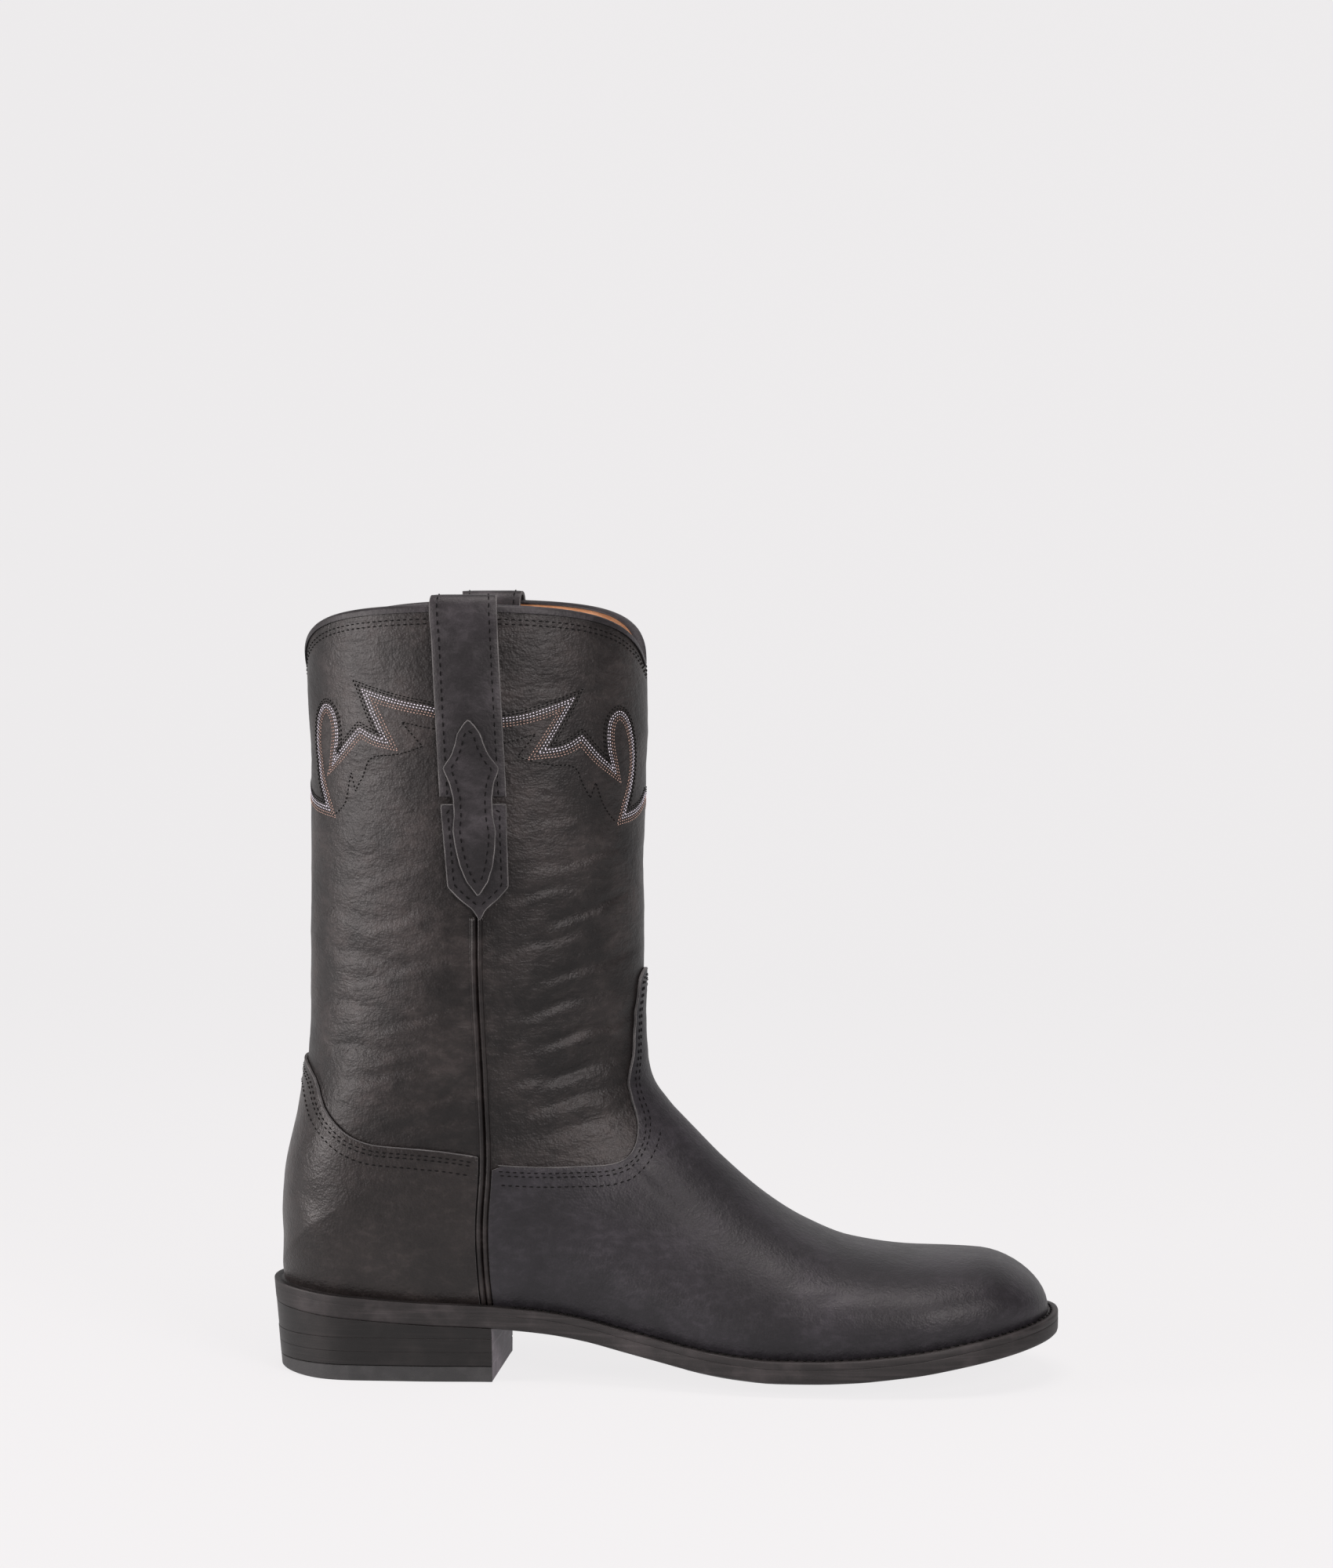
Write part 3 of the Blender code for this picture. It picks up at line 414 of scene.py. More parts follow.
class BootForm:
    """Outside form of the upper, on stations toe to collar and turns front to back."""

    def __init__(self, sizes: BootSizes, plan: SolePlan) -> None:
        """Read the ribs' tables into smooth curves."""
        self.sizes = sizes
        self.plan = plan
        foot, shaft = FOOT_ROWS, SHAFT_ROWS
        self.foot_last = len(foot) - 1
        self.last = self.foot_last + len(shaft)
        above_ankle = sizes.collar_low - sizes.ankle_height
        feather = sizes.seat_height + sizes.gap
        places = list(range(self.last + 1))

        def joined(foot_values: Sequence[float], shaft_values: Sequence[float]) -> SmoothCurve:
            return SmoothCurve(places, list(foot_values) + list(shaft_values))

        halves = [row.width * sizes.shaft_width for row in shaft]
        seat = foot[-1].widest - 0.5
        self.front_x = joined([self.feather_place(row.front) for row in foot],
                              [self.feather_place(row.front) for row in shaft])
        self.front_z = joined([row.front_height * sizes.ankle_height for row in foot],
                              [sizes.ankle_height + row.front_height * above_ankle for row in shaft])
        self.edge_x = joined([self.feather_place(row.edge) for row in foot],
                             [self.feather_place(row.back) for row in shaft])
        self.back_z = joined([feather for _ in foot],
                             [feather + row.back_height * (sizes.collar_low - feather) for row in shaft])
        self.half = {
            Side.OUTER: joined([row.outer * sizes.ball_width for row in foot], halves),
            Side.INNER: joined([row.inner * sizes.ball_width for row in foot], halves),
        }
        self.widest = joined([row.widest for row in foot], [0.5 + seat * row.follow for row in shaft])
        self.ridge = joined([row.ridge for row in foot], [2.0 for _ in shaft])
        self.follow = joined([1.0 for _ in foot], [row.follow for row in shaft])
        self.lift = joined([0.0 for _ in foot], [row.lift for row in shaft])
        self.bend = joined([row.bend for row in foot], [row.bend for row in shaft])

    def feather_place(self, share: float) -> float:
        """Distance from the heel's back of a share of the feather line."""
        return self.sizes.feather_inset + share * self.sizes.feather_length

    def collar_lift(self, turn: float) -> float:
        """Rise of the collar's side over its low front and back, as a share."""
        from_centre = turn if turn < 1 else 2 - turn
        sizes = self.sizes
        return 1 - math.exp(-(from_centre / sizes.collar_curve_spread) ** sizes.collar_curve_power)

    def point(self, station: float, turn: float, side: Side) -> Vector:
        """Point of the outside at a station, a turn and a side."""
        sizes, plan = self.sizes, self.plan
        front_x, edge_x = self.front_x.at(station), self.edge_x.at(station)
        edge_z, plan_shift = self.back_z.at(station), edge_x - sizes.feather_inset
        if station < self.foot_last:
            edge_z, plan_shift = plan.top(edge_x) + sizes.gap, 0.0
        toe_depth = (front_x - self.feather_place(1) + sizes.toe_face_depth) / sizes.toe_face_depth
        toe_height = math.sqrt(max(0.0, 1 - max(0.0, toe_depth) ** 2))
        front_z = edge_z + (self.front_z.at(station) - edge_z) * toe_height
        half = self.half[side].at(station) * plan.toe_factor(front_x, sizes.feather_inset)
        widest = self.widest.at(station)

        def plan_at(down: float) -> float:
            along = front_x + (edge_x - front_x) * down - plan_shift
            return plan.half_width(along, side, sizes.feather_inset)

        if turn <= 1:
            angle = turn * math.pi / 2
            power = 2 / self.ridge.at(station)
            across = half * math.sin(angle) ** power
            down = widest * (1 - max(0.0, math.cos(angle)) ** power)
            back = down
        else:
            fall = min(1.0, math.sin((turn - 1) * math.pi / 2))
            run = fall + self.bend.at(station) * (fall - fall ** 2)
            swell = max(0.0, half - plan_at(widest)) * (1 - fall ** 2)
            oval = half * math.sqrt(max(0.0, 1 - run ** 2))
            down = widest + (1 - widest) * fall
            back = widest + (1 - widest) * run
            follow = self.follow.at(station)
            across = (plan_at(back) + swell) * follow + oval * (1 - follow)
        rise = self.lift.at(station) * sizes.collar_dip * self.collar_lift(turn)
        x = front_x + (edge_x - front_x) * back
        z = front_z + (edge_z - front_z) * down + rise
        return Vector((sizes.heel_back + x, side.value * across, z))


# Creases and swells of the leather


class Crease(NamedTuple):
    """Soft trough, or ridge when raised, along a line in side view, in millimetres."""

    x_start: float
    z_start: float
    x_end: float
    z_end: float
    width: float
    depth: float


CREASES = rows_of(Crease, (
    (-20, 205, 22, 199, 2.6, 0.30),
    (-14, 193, 24, 203, 2.2, 0.22),
    (-24, 184, 6, 178, 2.6, 0.34),
    (-6, 176, 30, 185, 2.4, 0.28),
    (-22, 168, 18, 163, 3.0, 0.34),
    (-12, 156, 34, 166, 2.4, 0.30),
    (-24, 148, 12, 143, 2.8, 0.36),
    (-4, 138, 36, 147, 2.6, 0.30),
    (-22, 131, 20, 128, 3.0, 0.34),
    (-12, 118, 32, 126, 2.6, 0.34),
    (2, 108, 38, 114, 3.0, 0.40),
    (6, 99, 36, 103, 2.6, 0.34),
    (52, 214, 84, 222, 2.2, 0.20),
    (58, 200, 96, 206, 2.4, 0.26),
    (50, 188, 82, 194, 2.4, 0.24),
    (64, 178, 99, 188, 2.6, 0.30),
    (48, 168, 84, 176, 2.2, 0.22),
    (60, 156, 99, 166, 2.6, 0.26),
    (50, 144, 88, 150, 2.8, 0.28),
    (58, 130, 98, 142, 2.6, 0.34),
    (50, 116, 90, 124, 3.0, 0.36),
    (56, 104, 98, 116, 3.0, 0.40),
    (60, 95, 94, 103, 2.6, 0.32),
    (-26, 240, 8, 232, 3.4, 0.18),
    (62, 272, 92, 262, 3.2, 0.16),
    (96, 90, 112, 72, 3.6, 0.26),
    (104, 84, 124, 62, 3.6, 0.22),
    (-34, 78, -10, 58, 5.0, 0.22),
    (158, 40, 184, 46, 4.0, 0.22),
    (166, 32, 196, 44, 4.0, 0.20),
))


@dataclass(frozen=True)
class Relief:
    """Hand of the leather: placed creases over broad soft swells."""

    swell: float = 0.55 * MM
    swell_size: float = 34 * MM
    swell_stretch: tuple[float, float, float] = (1.0, 1.2, 1.6)
    swell_on_foot: float = 0.25
    ripple: float = 0.16 * MM
    ripple_size: float = 9 * MM
    ripple_stretch: tuple[float, float, float] = (0.7, 1.0, 1.9)
    ripple_on_foot: float = 0.15
    wander: float = 2.2 * MM
    wander_size: float = 14 * MM
    inner_shift: float = 5 * MM
    crease_gain: float = 2.6
    crease_share: float = 0.75
    crease_reach: float = 3.0
    crease_ends: float = 0.8
    bank_share: float = 0.45
    bank_place: float = 1.6
    ankle_fade: tuple[float, float] = (75 * MM, 105 * MM)
    collar_fade: tuple[float, float] = (262 * MM, 292 * MM)

    def height(self, point: Vector, side: Side) -> float:
        """How far the leather stands off its smooth form.

        Args:
            point: Point of the smooth form.
            side: Side of the boot that it lies on.

        Returns:
            Distance along the normal, in metres.
        """
        shaft = smooth_step(*self.ankle_fade, point.z) * (1 - smooth_step(*self.collar_fade, point.z))
        broad = point * Vector(self.swell_stretch) / self.swell_size
        foot = self.swell_on_foot
        high = self.swell * (foot + (1 - foot) * shaft) * noise.noise(broad)
        fine = point * Vector(self.ripple_stretch) / self.ripple_size
        foot = self.ripple_on_foot
        high += self.ripple * (foot + (1 - foot) * shaft) * noise.noise(fine)
        drift = self.wander * noise.noise(point / self.wander_size)
        shift = self.inner_shift if side is Side.INNER else 0.0
        for crease in CREASES:
            high -= self.crease_depth(crease, point.x + shift, point.z + drift)
        return high

    def crease_depth(self, crease: Crease, x: float, z: float) -> float:
        """Depth that one crease takes away at a place in side view."""
        run_x = (crease.x_end - crease.x_start) * MM
        run_z = (crease.z_end - crease.z_start) * MM
        from_x, from_z = x - crease.x_start * MM, z - crease.z_start * MM
        length = math.hypot(run_x, run_z)
        share = (from_x * run_x + from_z * run_z) / length ** 2
        if not 0 < share < 1:
            return 0.0
        away = (from_x * run_z - from_z * run_x) / length / (crease.width * self.crease_share * MM)
        if abs(away) > self.crease_reach:
            return 0.0
        bank = self.bank_share * math.exp(-(away - self.bank_place) ** 2)
        trough = math.exp(-away * away) - bank
        fade = math.sin(math.pi * share) ** self.crease_ends
        return self.crease_gain * crease.depth * MM * trough * fade


# Sheets, cuts and pieces


def mapped_grid(columns: int, rows: int, place: Callable[[int, int], Vector]) -> Mesh:
    """Sheet of quads whose points are placed by column and row.

    Args:
        columns: Number of points across.
        rows: Number of points along.
        place: Gives the position for a column and a row.

    Returns:
        The sheet.
    """
    mesh = bmesh.new()
    bmesh.ops.create_grid(mesh, x_segments=columns - 1, y_segments=rows - 1, size=0.5)
    for vertex in mesh.verts:
        column = round((vertex.co.x + 0.5) * (columns - 1))
        row = round((vertex.co.y + 0.5) * (rows - 1))
        vertex.co = place(column, row)
    return mesh


def signed_polygon(corners: Sequence[tuple[float, float]], x: float, z: float) -> float:
    """Distance from a closed outline, negative inside."""
    nearest, inside = math.inf, False
    ax, az = corners[-1]
    for bx, bz in corners:
        ex, ez, fx, fz = bx - ax, bz - az, x - ax, z - az
        square = ex * ex + ez * ez
        share = (fx * ex + fz * ez) / square if square else 0.0
        if share <= 0:
            away = fx * fx + fz * fz
        elif share >= 1:
            away = (x - bx) ** 2 + (z - bz) ** 2
        else:
            away = (fx * ez - fz * ex) ** 2 / square
        if away < nearest:
            nearest = away
        if (az > z) != (bz > z) and fx < fz / ez * ex:
            inside = not inside
        ax, az = bx, bz
    return -math.sqrt(nearest) if inside else math.sqrt(nearest)


def soft_min(a: float, b: float, blend: float) -> float:
    """Smaller of two values with a rounded join."""
    mix = max(0.0, blend - abs(a - b)) / blend
    return min(a, b) - mix * mix * blend / 4


SNAP_SHARE = 0.3


def trim_sheet(mesh: Mesh, distances: Sequence[float]) -> list:
    """Cut a sheet along the line where a distance is zero and drop what lies above.

    Args:
        mesh: Sheet to cut, changed in place.
        distances: Distance of each point from the line, positive on the side that goes.

    Returns:
        The points that lie on the cut line.
    """
    depth = dict(zip(mesh.verts, distances))
    nearest = {}
    for edge in mesh.edges:
        a, b = edge.verts
        if depth[a] * depth[b] >= 0:
            continue
        share = depth[a] / (depth[a] - depth[b])
        for vertex, near in ((a, share), (b, 1 - share)):
            if near < SNAP_SHARE and near < nearest.get(vertex, (1.0, None))[0]:
                nearest[vertex] = (near, a.co.lerp(b.co, share))
    for vertex, (_, place) in nearest.items():
        vertex.co = place
        depth[vertex] = 0.0
    for edge in list(mesh.edges):
        a, b = edge.verts
        if depth[a] * depth[b] < 0:
            _, middle = bmesh.utils.edge_split(edge, a, depth[a] / (depth[a] - depth[b]))
            depth[middle] = 0.0
    on_line = [vertex for vertex, value in depth.items() if value == 0.0]
    bmesh.ops.connect_verts(mesh, verts=on_line)
    gone = [vertex for vertex, value in depth.items() if value > 0]
    bmesh.ops.delete(mesh, geom=gone, context="VERTS")
    left = [vertex for vertex in on_line if vertex.is_valid]
    stray = [vertex for vertex in left if not vertex.link_faces]
    bmesh.ops.delete(mesh, geom=stray, context="VERTS")
    return [vertex for vertex in left if vertex.is_valid]


class PathPoint(NamedTuple):
    """Point of a seam with the direction out of the leather."""

    place: Vector
    out: Vector


Path = list[PathPoint]


def raised(path: Path, distance: float) -> Path:
    """Path moved out of the leather by a distance."""
    return [PathPoint(point.place + point.out * distance, point.out) for point in path]


def cut_paths(mesh: Mesh, on_line: Sequence) -> list[Path]:
    """Runs of points along the edge that a cut left.

    Args:
        mesh: Sheet that was cut.
        on_line: Points on the cut line.

    Returns:
        One path for each run, with a closed one ending on its first point.
    """
    mesh.normal_update()
    marked = set(on_line)
    links = {vertex: [] for vertex in on_line}
    for edge in mesh.edges:
        a, b = edge.verts
        if edge.is_boundary and a in marked and b in marked:
            links[a].append(b)
            links[b].append(a)
    paths, seen = [], set()
    starts = [vertex for vertex in on_line if len(links[vertex]) == 1] + list(on_line)
    for start in starts:
        if start in seen or not links[start]:
            continue
        run, current = [start], start
        seen.add(start)
        while True:
            ahead = [vertex for vertex in links[current] if vertex not in seen]
            if not ahead:
                break
            current = ahead[0]
            seen.add(current)
            run.append(current)
        if len(run) > 2 and start in links[current]:
            run.append(start)
        if len(run) > 2:
            paths.append([PathPoint(vertex.co.copy(), vertex.normal.copy()) for vertex in run])
    return paths


def kept_runs(path: Path, keep: Callable[[Vector], bool]) -> list[Path]:
    """Unbroken parts of a path where a test holds, joined over the start of a closed one."""
    runs: list[Path] = [[]]
    for point in path:
        if keep(point.place):
            runs[-1].append(point)
        elif runs[-1]:
            runs.append([])
    is_closed = (path[0].place - path[-1].place).length < 0.01 * MM
    if is_closed and len(runs) > 1 and runs[-1] and keep(path[0].place):
        runs[0] = runs.pop() + runs[0]
    return [run for run in runs if len(run) > 3]


def mesh_data(name: str, mesh: Mesh) -> bpy.types.Mesh:
    """Mesh data from a mesh under work, which is freed."""
    data = bpy.data.meshes.new(name)
    mesh.to_mesh(data)
    mesh.free()
    return data


def add_mesh(target: Mesh, mesh: Mesh) -> None:
    """Join a mesh to another one under work, and free it."""
    data = mesh_data("part", mesh)
    target.from_mesh(data)
    bpy.data.meshes.remove(data)


def shown(name: str, data: bpy.types.ID) -> bpy.types.Object:
    """Object with its data, linked to the scene."""
    thing = bpy.data.objects.new(name, data)
    bpy.context.scene.collection.objects.link(thing)
    return thing


def face_side(mesh: Mesh, face: bmesh.types.BMFace, side: Side) -> None:
    """Turn a sheet over where one of its faces looks away from its side of the boot."""
    if face.normal.y * side.value < 0:
        bmesh.ops.reverse_faces(mesh, faces=mesh.faces)


def new_piece(name: str, mesh: Mesh, nodes: Sequence[str], slot: str, materials: Sequence,
              smooth_angle: float = 40.0) -> bpy.types.Object:
    """Turn a mesh into a piece of the boot that stands for CAD nodes.

    Args:
        name: Name of the piece.
        mesh: Its mesh, which is freed.
        nodes: CAD nodes that it stands for, or none.
        slot: Material slot of the record; not used.
        materials: Materials in order of their slots.
        smooth_angle: Edges sharper than this stay sharp, in degrees.

    Returns:
        The piece.
    """
    data = mesh_data(name, mesh)
    for material in materials:
        data.materials.append(material)
    data.shade_smooth()
    data.set_sharp_from_angle(angle=math.radians(smooth_angle))
    piece = shown(name, data)
    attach(piece, "root")
    if nodes:
        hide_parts(*nodes)
    log.info("piece %s: %d faces", name, len(data.polygons))
    return piece


EDGE_SEGMENTS = 2
EDGE_ANGLE = 55.0


def give_wall(piece: bpy.types.Object, thickness: float, outward: bool = True,
              round_edge: float = 0.0, rim: int = 0) -> None:
    """Give an open sheet its thickness and soften its edges.

    Args:
        piece: Sheet to finish.
        thickness: Thickness in metres.
        outward: Whether it grows along the normals.
        round_edge: Width of the rounded edge.
        rim: How many slots on the rim's material lies.
    """
    wall = piece.modifiers.new("wall", "SOLIDIFY")
    wall.thickness = thickness
    wall.offset = 1 if outward else -1
    wall.material_offset_rim = rim
    if round_edge:
        bevel = piece.modifiers.new("edge", "BEVEL")
        bevel.width = round_edge
        bevel.segments = EDGE_SEGMENTS
        bevel.limit_method = "ANGLE"
        bevel.angle_limit = math.radians(EDGE_ANGLE)
        bevel.use_clamp_overlap = False


def lift_sheet(mesh: Mesh, distance: float) -> None:
    """Move every point of a sheet out along its normal."""
    mesh.normal_update()
    moves = [(vertex, vertex.normal * distance) for vertex in mesh.verts]
    for vertex, move in moves:
        vertex.co += move


def closed(mesh: Mesh, merge: float = 0.01 * MM, capped: bool = False) -> Mesh:
    """Merge doubled points, fill the open ends if wanted, and turn the faces out."""
    bmesh.ops.remove_doubles(mesh, verts=mesh.verts, dist=merge)
    if capped:
        rim = [edge for edge in mesh.edges if edge.is_boundary]
        bmesh.ops.holes_fill(mesh, edges=rim, sides=0)
    bmesh.ops.recalc_face_normals(mesh, faces=mesh.faces)
    return mesh


# Shader arithmetic

Number = Union[float, "Value"]


class Value:
    """Number in a material, with arithmetic that adds Math nodes."""

    def __init__(self, sheet: "NodeSheet", socket: bpy.types.NodeSocket) -> None:
        """Wrap one output socket of a sheet of nodes."""
        self.sheet = sheet
        self.socket = socket

    def __add__(self, other: Number) -> "Value":
        """Sum of two numbers."""
        return self.sheet.math("ADD", self, other)

    def __radd__(self, other: float) -> "Value":
        """Sum with a plain number on the left."""
        return self.sheet.math("ADD", other, self)

    def __sub__(self, other: Number) -> "Value":
        """Difference of two numbers."""
        return self.sheet.math("SUBTRACT", self, other)

    def __mul__(self, other: Number) -> "Value":
        """Product of two numbers."""
        return self.sheet.math("MULTIPLY", self, other)

    def step(self, low: float, high: float) -> "Value":
        """Soft rise from 0 at low to 1 at high."""
        inputs = {"Value": self, "From Min": low, "From Max": high}
        settings = {"interpolation_type": "SMOOTHSTEP", "clamp": True}
        return Value(self.sheet, self.sheet.node("ShaderNodeMapRange", settings, inputs).outputs["Result"])


class NodeSheet:
    """Nodes of one material."""

    def __init__(self, name: str) -> None:
        """Start a material with one Principled shader."""
        self.material = bpy.data.materials.new(name)
        self.material.use_nodes = True
        self.nodes = self.material.node_tree.nodes
        self.links = self.material.node_tree.links
        self.shader = self.nodes["Principled BSDF"]
        self.place = self.node("ShaderNodeTexCoord", {}, {}).outputs["Object"]

    def node(self, kind: str, settings: dict, inputs: dict) -> bpy.types.Node:
        """Add a node.

        Args:
            kind: Type of the node.
            settings: Settings of the node, set first.
            inputs: Values or links for its sockets, by name or number.

        Returns:
            The node.
        """
        node = self.nodes.new(kind)
        for name, value in settings.items():
            setattr(node, name, value)
        for key, value in inputs.items():
            self.feed(node.inputs[key], value)
        return node

    def feed(self, socket: bpy.types.NodeSocket, value: object) -> None:
        """Set a socket to a value, or link a value to it."""
        if isinstance(value, Value):
            self.links.new(value.socket, socket)
        elif isinstance(value, bpy.types.NodeSocket):
            self.links.new(value, socket)
        elif isinstance(value, tuple) and socket.type == "RGBA":
            socket.default_value = (*value, 1.0)
        else:
            socket.default_value = value

    def math(self, operation: str, a: Number, b: Number) -> Value:
        """Number worked out from two others."""
        node = self.node("ShaderNodeMath", {"operation": operation}, {0: a, 1: b})
        return Value(self, node.outputs[0])

    def stretched(self, x: float, y: float, z: float) -> bpy.types.NodeSocket:
        """Object coordinates with each axis scaled by its own amount."""
        inputs = {0: self.place, 1: (x, y, z)}
        return self.node("ShaderNodeVectorMath", {"operation": "MULTIPLY"}, inputs).outputs[0]

    def noise(self, size: float, detail: float = 2.0, rough: float = 0.5,
              place: Optional[bpy.types.NodeSocket] = None, bend: float = 0.0) -> Value:
        """Soft noise whose patches have a size in metres."""
        inputs = {"Vector": place or self.place, "Scale": 1 / size, "Detail": detail,
                  "Roughness": rough, "Distortion": bend}
        return Value(self, self.node("ShaderNodeTexNoise", {}, inputs).outputs[0])

    def cells(self, size: float) -> Value:
        """Distance inside cells whose size is in metres."""
        inputs = {"Vector": self.place, "Scale": 1 / size}
        return Value(self, self.node("ShaderNodeTexVoronoi", {}, inputs).outputs["Distance"])

    def mix(self, share: Number, a: object, b: object) -> bpy.types.NodeSocket:
        """Colour between two others."""
        node = self.node("ShaderNodeMix", {"data_type": "RGBA"}, {0: share, 6: a, 7: b})
        return node.outputs[2]

    def finish(self, colour: object, roughness: Number, bumps: Sequence[tuple[Value, float]],
               **constants: float) -> bpy.types.Material:
        """Feed the shader.

        Args:
            colour: Base colour.
            roughness: Roughness.
            bumps: Heights from 0 to 1 with their depth in metres.
            constants: Values of the shader's other sockets, with _ for a space.

        Returns:
            The material.
        """
        self.feed(self.shader.inputs["Base Color"], colour)
        self.feed(self.shader.inputs["Roughness"], roughness)
        normal = None
        for height, depth in bumps:
            inputs = {"Height": height, "Distance": depth, "Strength": 1.0}
            if normal is not None:
                inputs["Normal"] = normal
            normal = self.node("ShaderNodeBump", {}, inputs).outputs[0]
        if normal is not None:
            self.feed(self.shader.inputs["Normal"], normal)
        for name, value in constants.items():
            self.shader.inputs[name.replace("_", " ")].default_value = value
        return self.material


@dataclass(frozen=True)
class OiledLeather:
    """Black oiled leather with a fine grain, soft wrinkles, rubbed lights and painted glints of the grain."""

    name: str
    deep: Colour = (0.0055, 0.0045, 0.0044)
    rubbed: Colour = (0.045, 0.037, 0.0355)
    roughness: float = 0.45
    cloud_size: float = 26 * MM
    streak_size: float = 3.6 * MM
    wrinkle_size: float = 5.0 * MM
    wrinkle_depth: float = 0.30 * MM
    pebble_size: float = 2.16 * MM
    grain_size: float = 0.9 * MM
    grain_depth: float = 0.12 * MM
    painted_glint_size: float = 0.7 * MM
    mottle: float = 1.0

    def material(self) -> bpy.types.Material:
        """Build the leather."""
        sheet = NodeSheet(self.name)
        cloud = sheet.noise(self.cloud_size, detail=4, rough=0.55)
        slack, pulled = sheet.stretched(0.75, 0.85, 1.25), sheet.stretched(0.5, 0.7, 1.6)
        streaks = sheet.noise(self.streak_size, detail=4, rough=0.58, place=slack, bend=0.4)
        wrinkles = sheet.noise(self.wrinkle_size, detail=4, rough=0.6, place=pulled, bend=0.8)
        grain = sheet.cells(self.grain_size)
        pebbles = sheet.cells(self.pebble_size)
        speck = sheet.noise(self.painted_glint_size, detail=2)
        worn = cloud.step(0.40, 0.66) * streaks.step(0.40, 0.68)
        patches = (cloud.step(0.36, 0.72) - 0.5) * (0.34 * self.mottle) + worn * (0.22 * self.mottle)
        # Specks add small lighter flecks to the colour: painted glints of the grain, besides the grain's
        # bumps.
        light = patches + streaks.step(0.45, 0.8) * 0.14 + speck * 0.16 + 0.10
        colour = sheet.mix(light, self.deep, self.rubbed)
        rough = self.roughness + (streaks - 0.5) * 0.20 + speck * 0.12 - cloud * 0.06
        bumps = [(wrinkles * cloud.step(0.25, 0.6), self.wrinkle_depth * 1.7),
                 (streaks, self.wrinkle_depth * 0.3),
                 (pebbles, self.grain_depth * 0.8),
                 (grain, self.grain_depth * 0.8)]
        return sheet.finish(colour, rough, bumps, Specular_IOR_Level=0.29)


@dataclass(frozen=True)
class RawEdge:
    """Cut edge of the leather, dyed black and rubbed lighter; on the thin edge lines its lighter colour is
    also a painted highlight.
    """

    name: str = "cut_leather_edge"
    deep: Colour = (0.020, 0.019, 0.020)
    rubbed: Colour = (0.13, 0.125, 0.125)

    def material(self) -> bpy.types.Material:
        """Build the edge."""
        sheet = NodeSheet(self.name)
        fibre = sheet.noise(0.8 * MM, detail=3, rough=0.6)
        worn = sheet.noise(9 * MM, detail=2)
        colour = sheet.mix(fibre * 0.5 + worn.step(0.35, 0.7) * 0.5, self.deep, self.rubbed)
        return sheet.finish(colour, 0.62 + fibre * 0.2, [(fibre, 0.10 * MM)])


@dataclass(frozen=True)
class WaxedEdge:
    """Burnished sole and heel edge with the streaks of its layers."""

    name: str = "waxed_edge"
    deep: Colour = (0.005, 0.0045, 0.0045)
    rubbed: Colour = (0.019, 0.016, 0.0155)
    roughness: float = 0.32
    layer: float = 1.1 * MM

    def material(self) -> bpy.types.Material:
        """Build the edge."""
        sheet = NodeSheet(self.name)
        layers = sheet.noise(self.layer, detail=3, rough=0.6, place=sheet.stretched(0.03, 0.03, 1.0))
        patches = sheet.noise(16 * MM, detail=4, rough=0.6)
        speck = sheet.noise(0.5 * MM, detail=2)
        light = layers.step(0.45, 0.8) * 0.30 + patches.step(0.45, 0.75) * 0.40 + speck * 0.15
        colour = sheet.mix(light, self.deep, self.rubbed)
        rough = self.roughness + patches * 0.22 + speck * 0.08
        return sheet.finish(colour, rough, [(layers, 0.04 * MM), (speck, 0.04 * MM)],
                            Specular_IOR_Level=0.3)


@dataclass(frozen=True)
class HeelRubber:
    """Black rubber of the heel cap and the outsole's tread."""

    name: str = "heel_rubber"
    colour: Colour = (0.012, 0.012, 0.0125)
    dusty: Colour = (0.034, 0.033, 0.034)

    def material(self) -> bpy.types.Material:
        """Build the rubber."""
        sheet = NodeSheet(self.name)
        dust = sheet.noise(7 * MM, detail=4, rough=0.6)
        speck = sheet.noise(0.6 * MM, detail=2)
        colour = sheet.mix(dust.step(0.4, 0.75) * 0.6 + speck * 0.2, self.colour, self.dusty)
        return sheet.finish(colour, 0.5 + dust * 0.2, [(speck, 0.06 * MM)])


@dataclass(frozen=True)
class LiningLeather:
    """Soft tan lining."""

    name: str = "tan_lining"
    deep: Colour = (0.46, 0.20, 0.085)
    light: Colour = (0.74, 0.40, 0.22)

    def material(self) -> bpy.types.Material:
        """Build the lining."""
        sheet = NodeSheet(self.name)
        cloud = sheet.noise(22 * MM, detail=4, rough=0.6)
        pores = sheet.cells(0.8 * MM)
        colour = sheet.mix(cloud.step(0.3, 0.7) * 0.8 + pores * 0.2, self.deep, self.light)
        return sheet.finish(colour, 0.62 + cloud * 0.1, [(pores, 0.05 * MM), (cloud, 0.3 * MM)])


@dataclass(frozen=True)
class Thread:
    """Waxed sewing thread."""

    name: str
    colour: Colour
    roughness: float = 0.5
    shine: float = 0.5

    def material(self) -> bpy.types.Material:
        """Build the thread."""
        sheet = NodeSheet(self.name)
        twist = sheet.noise(0.5 * MM, detail=2)
        shade = tuple(part * 0.55 for part in self.colour)
        colour = sheet.mix(twist.step(0.3, 0.7), shade, self.colour)
        return sheet.finish(colour, self.roughness, [(twist, 0.05 * MM)], Specular_IOR_Level=self.shine)


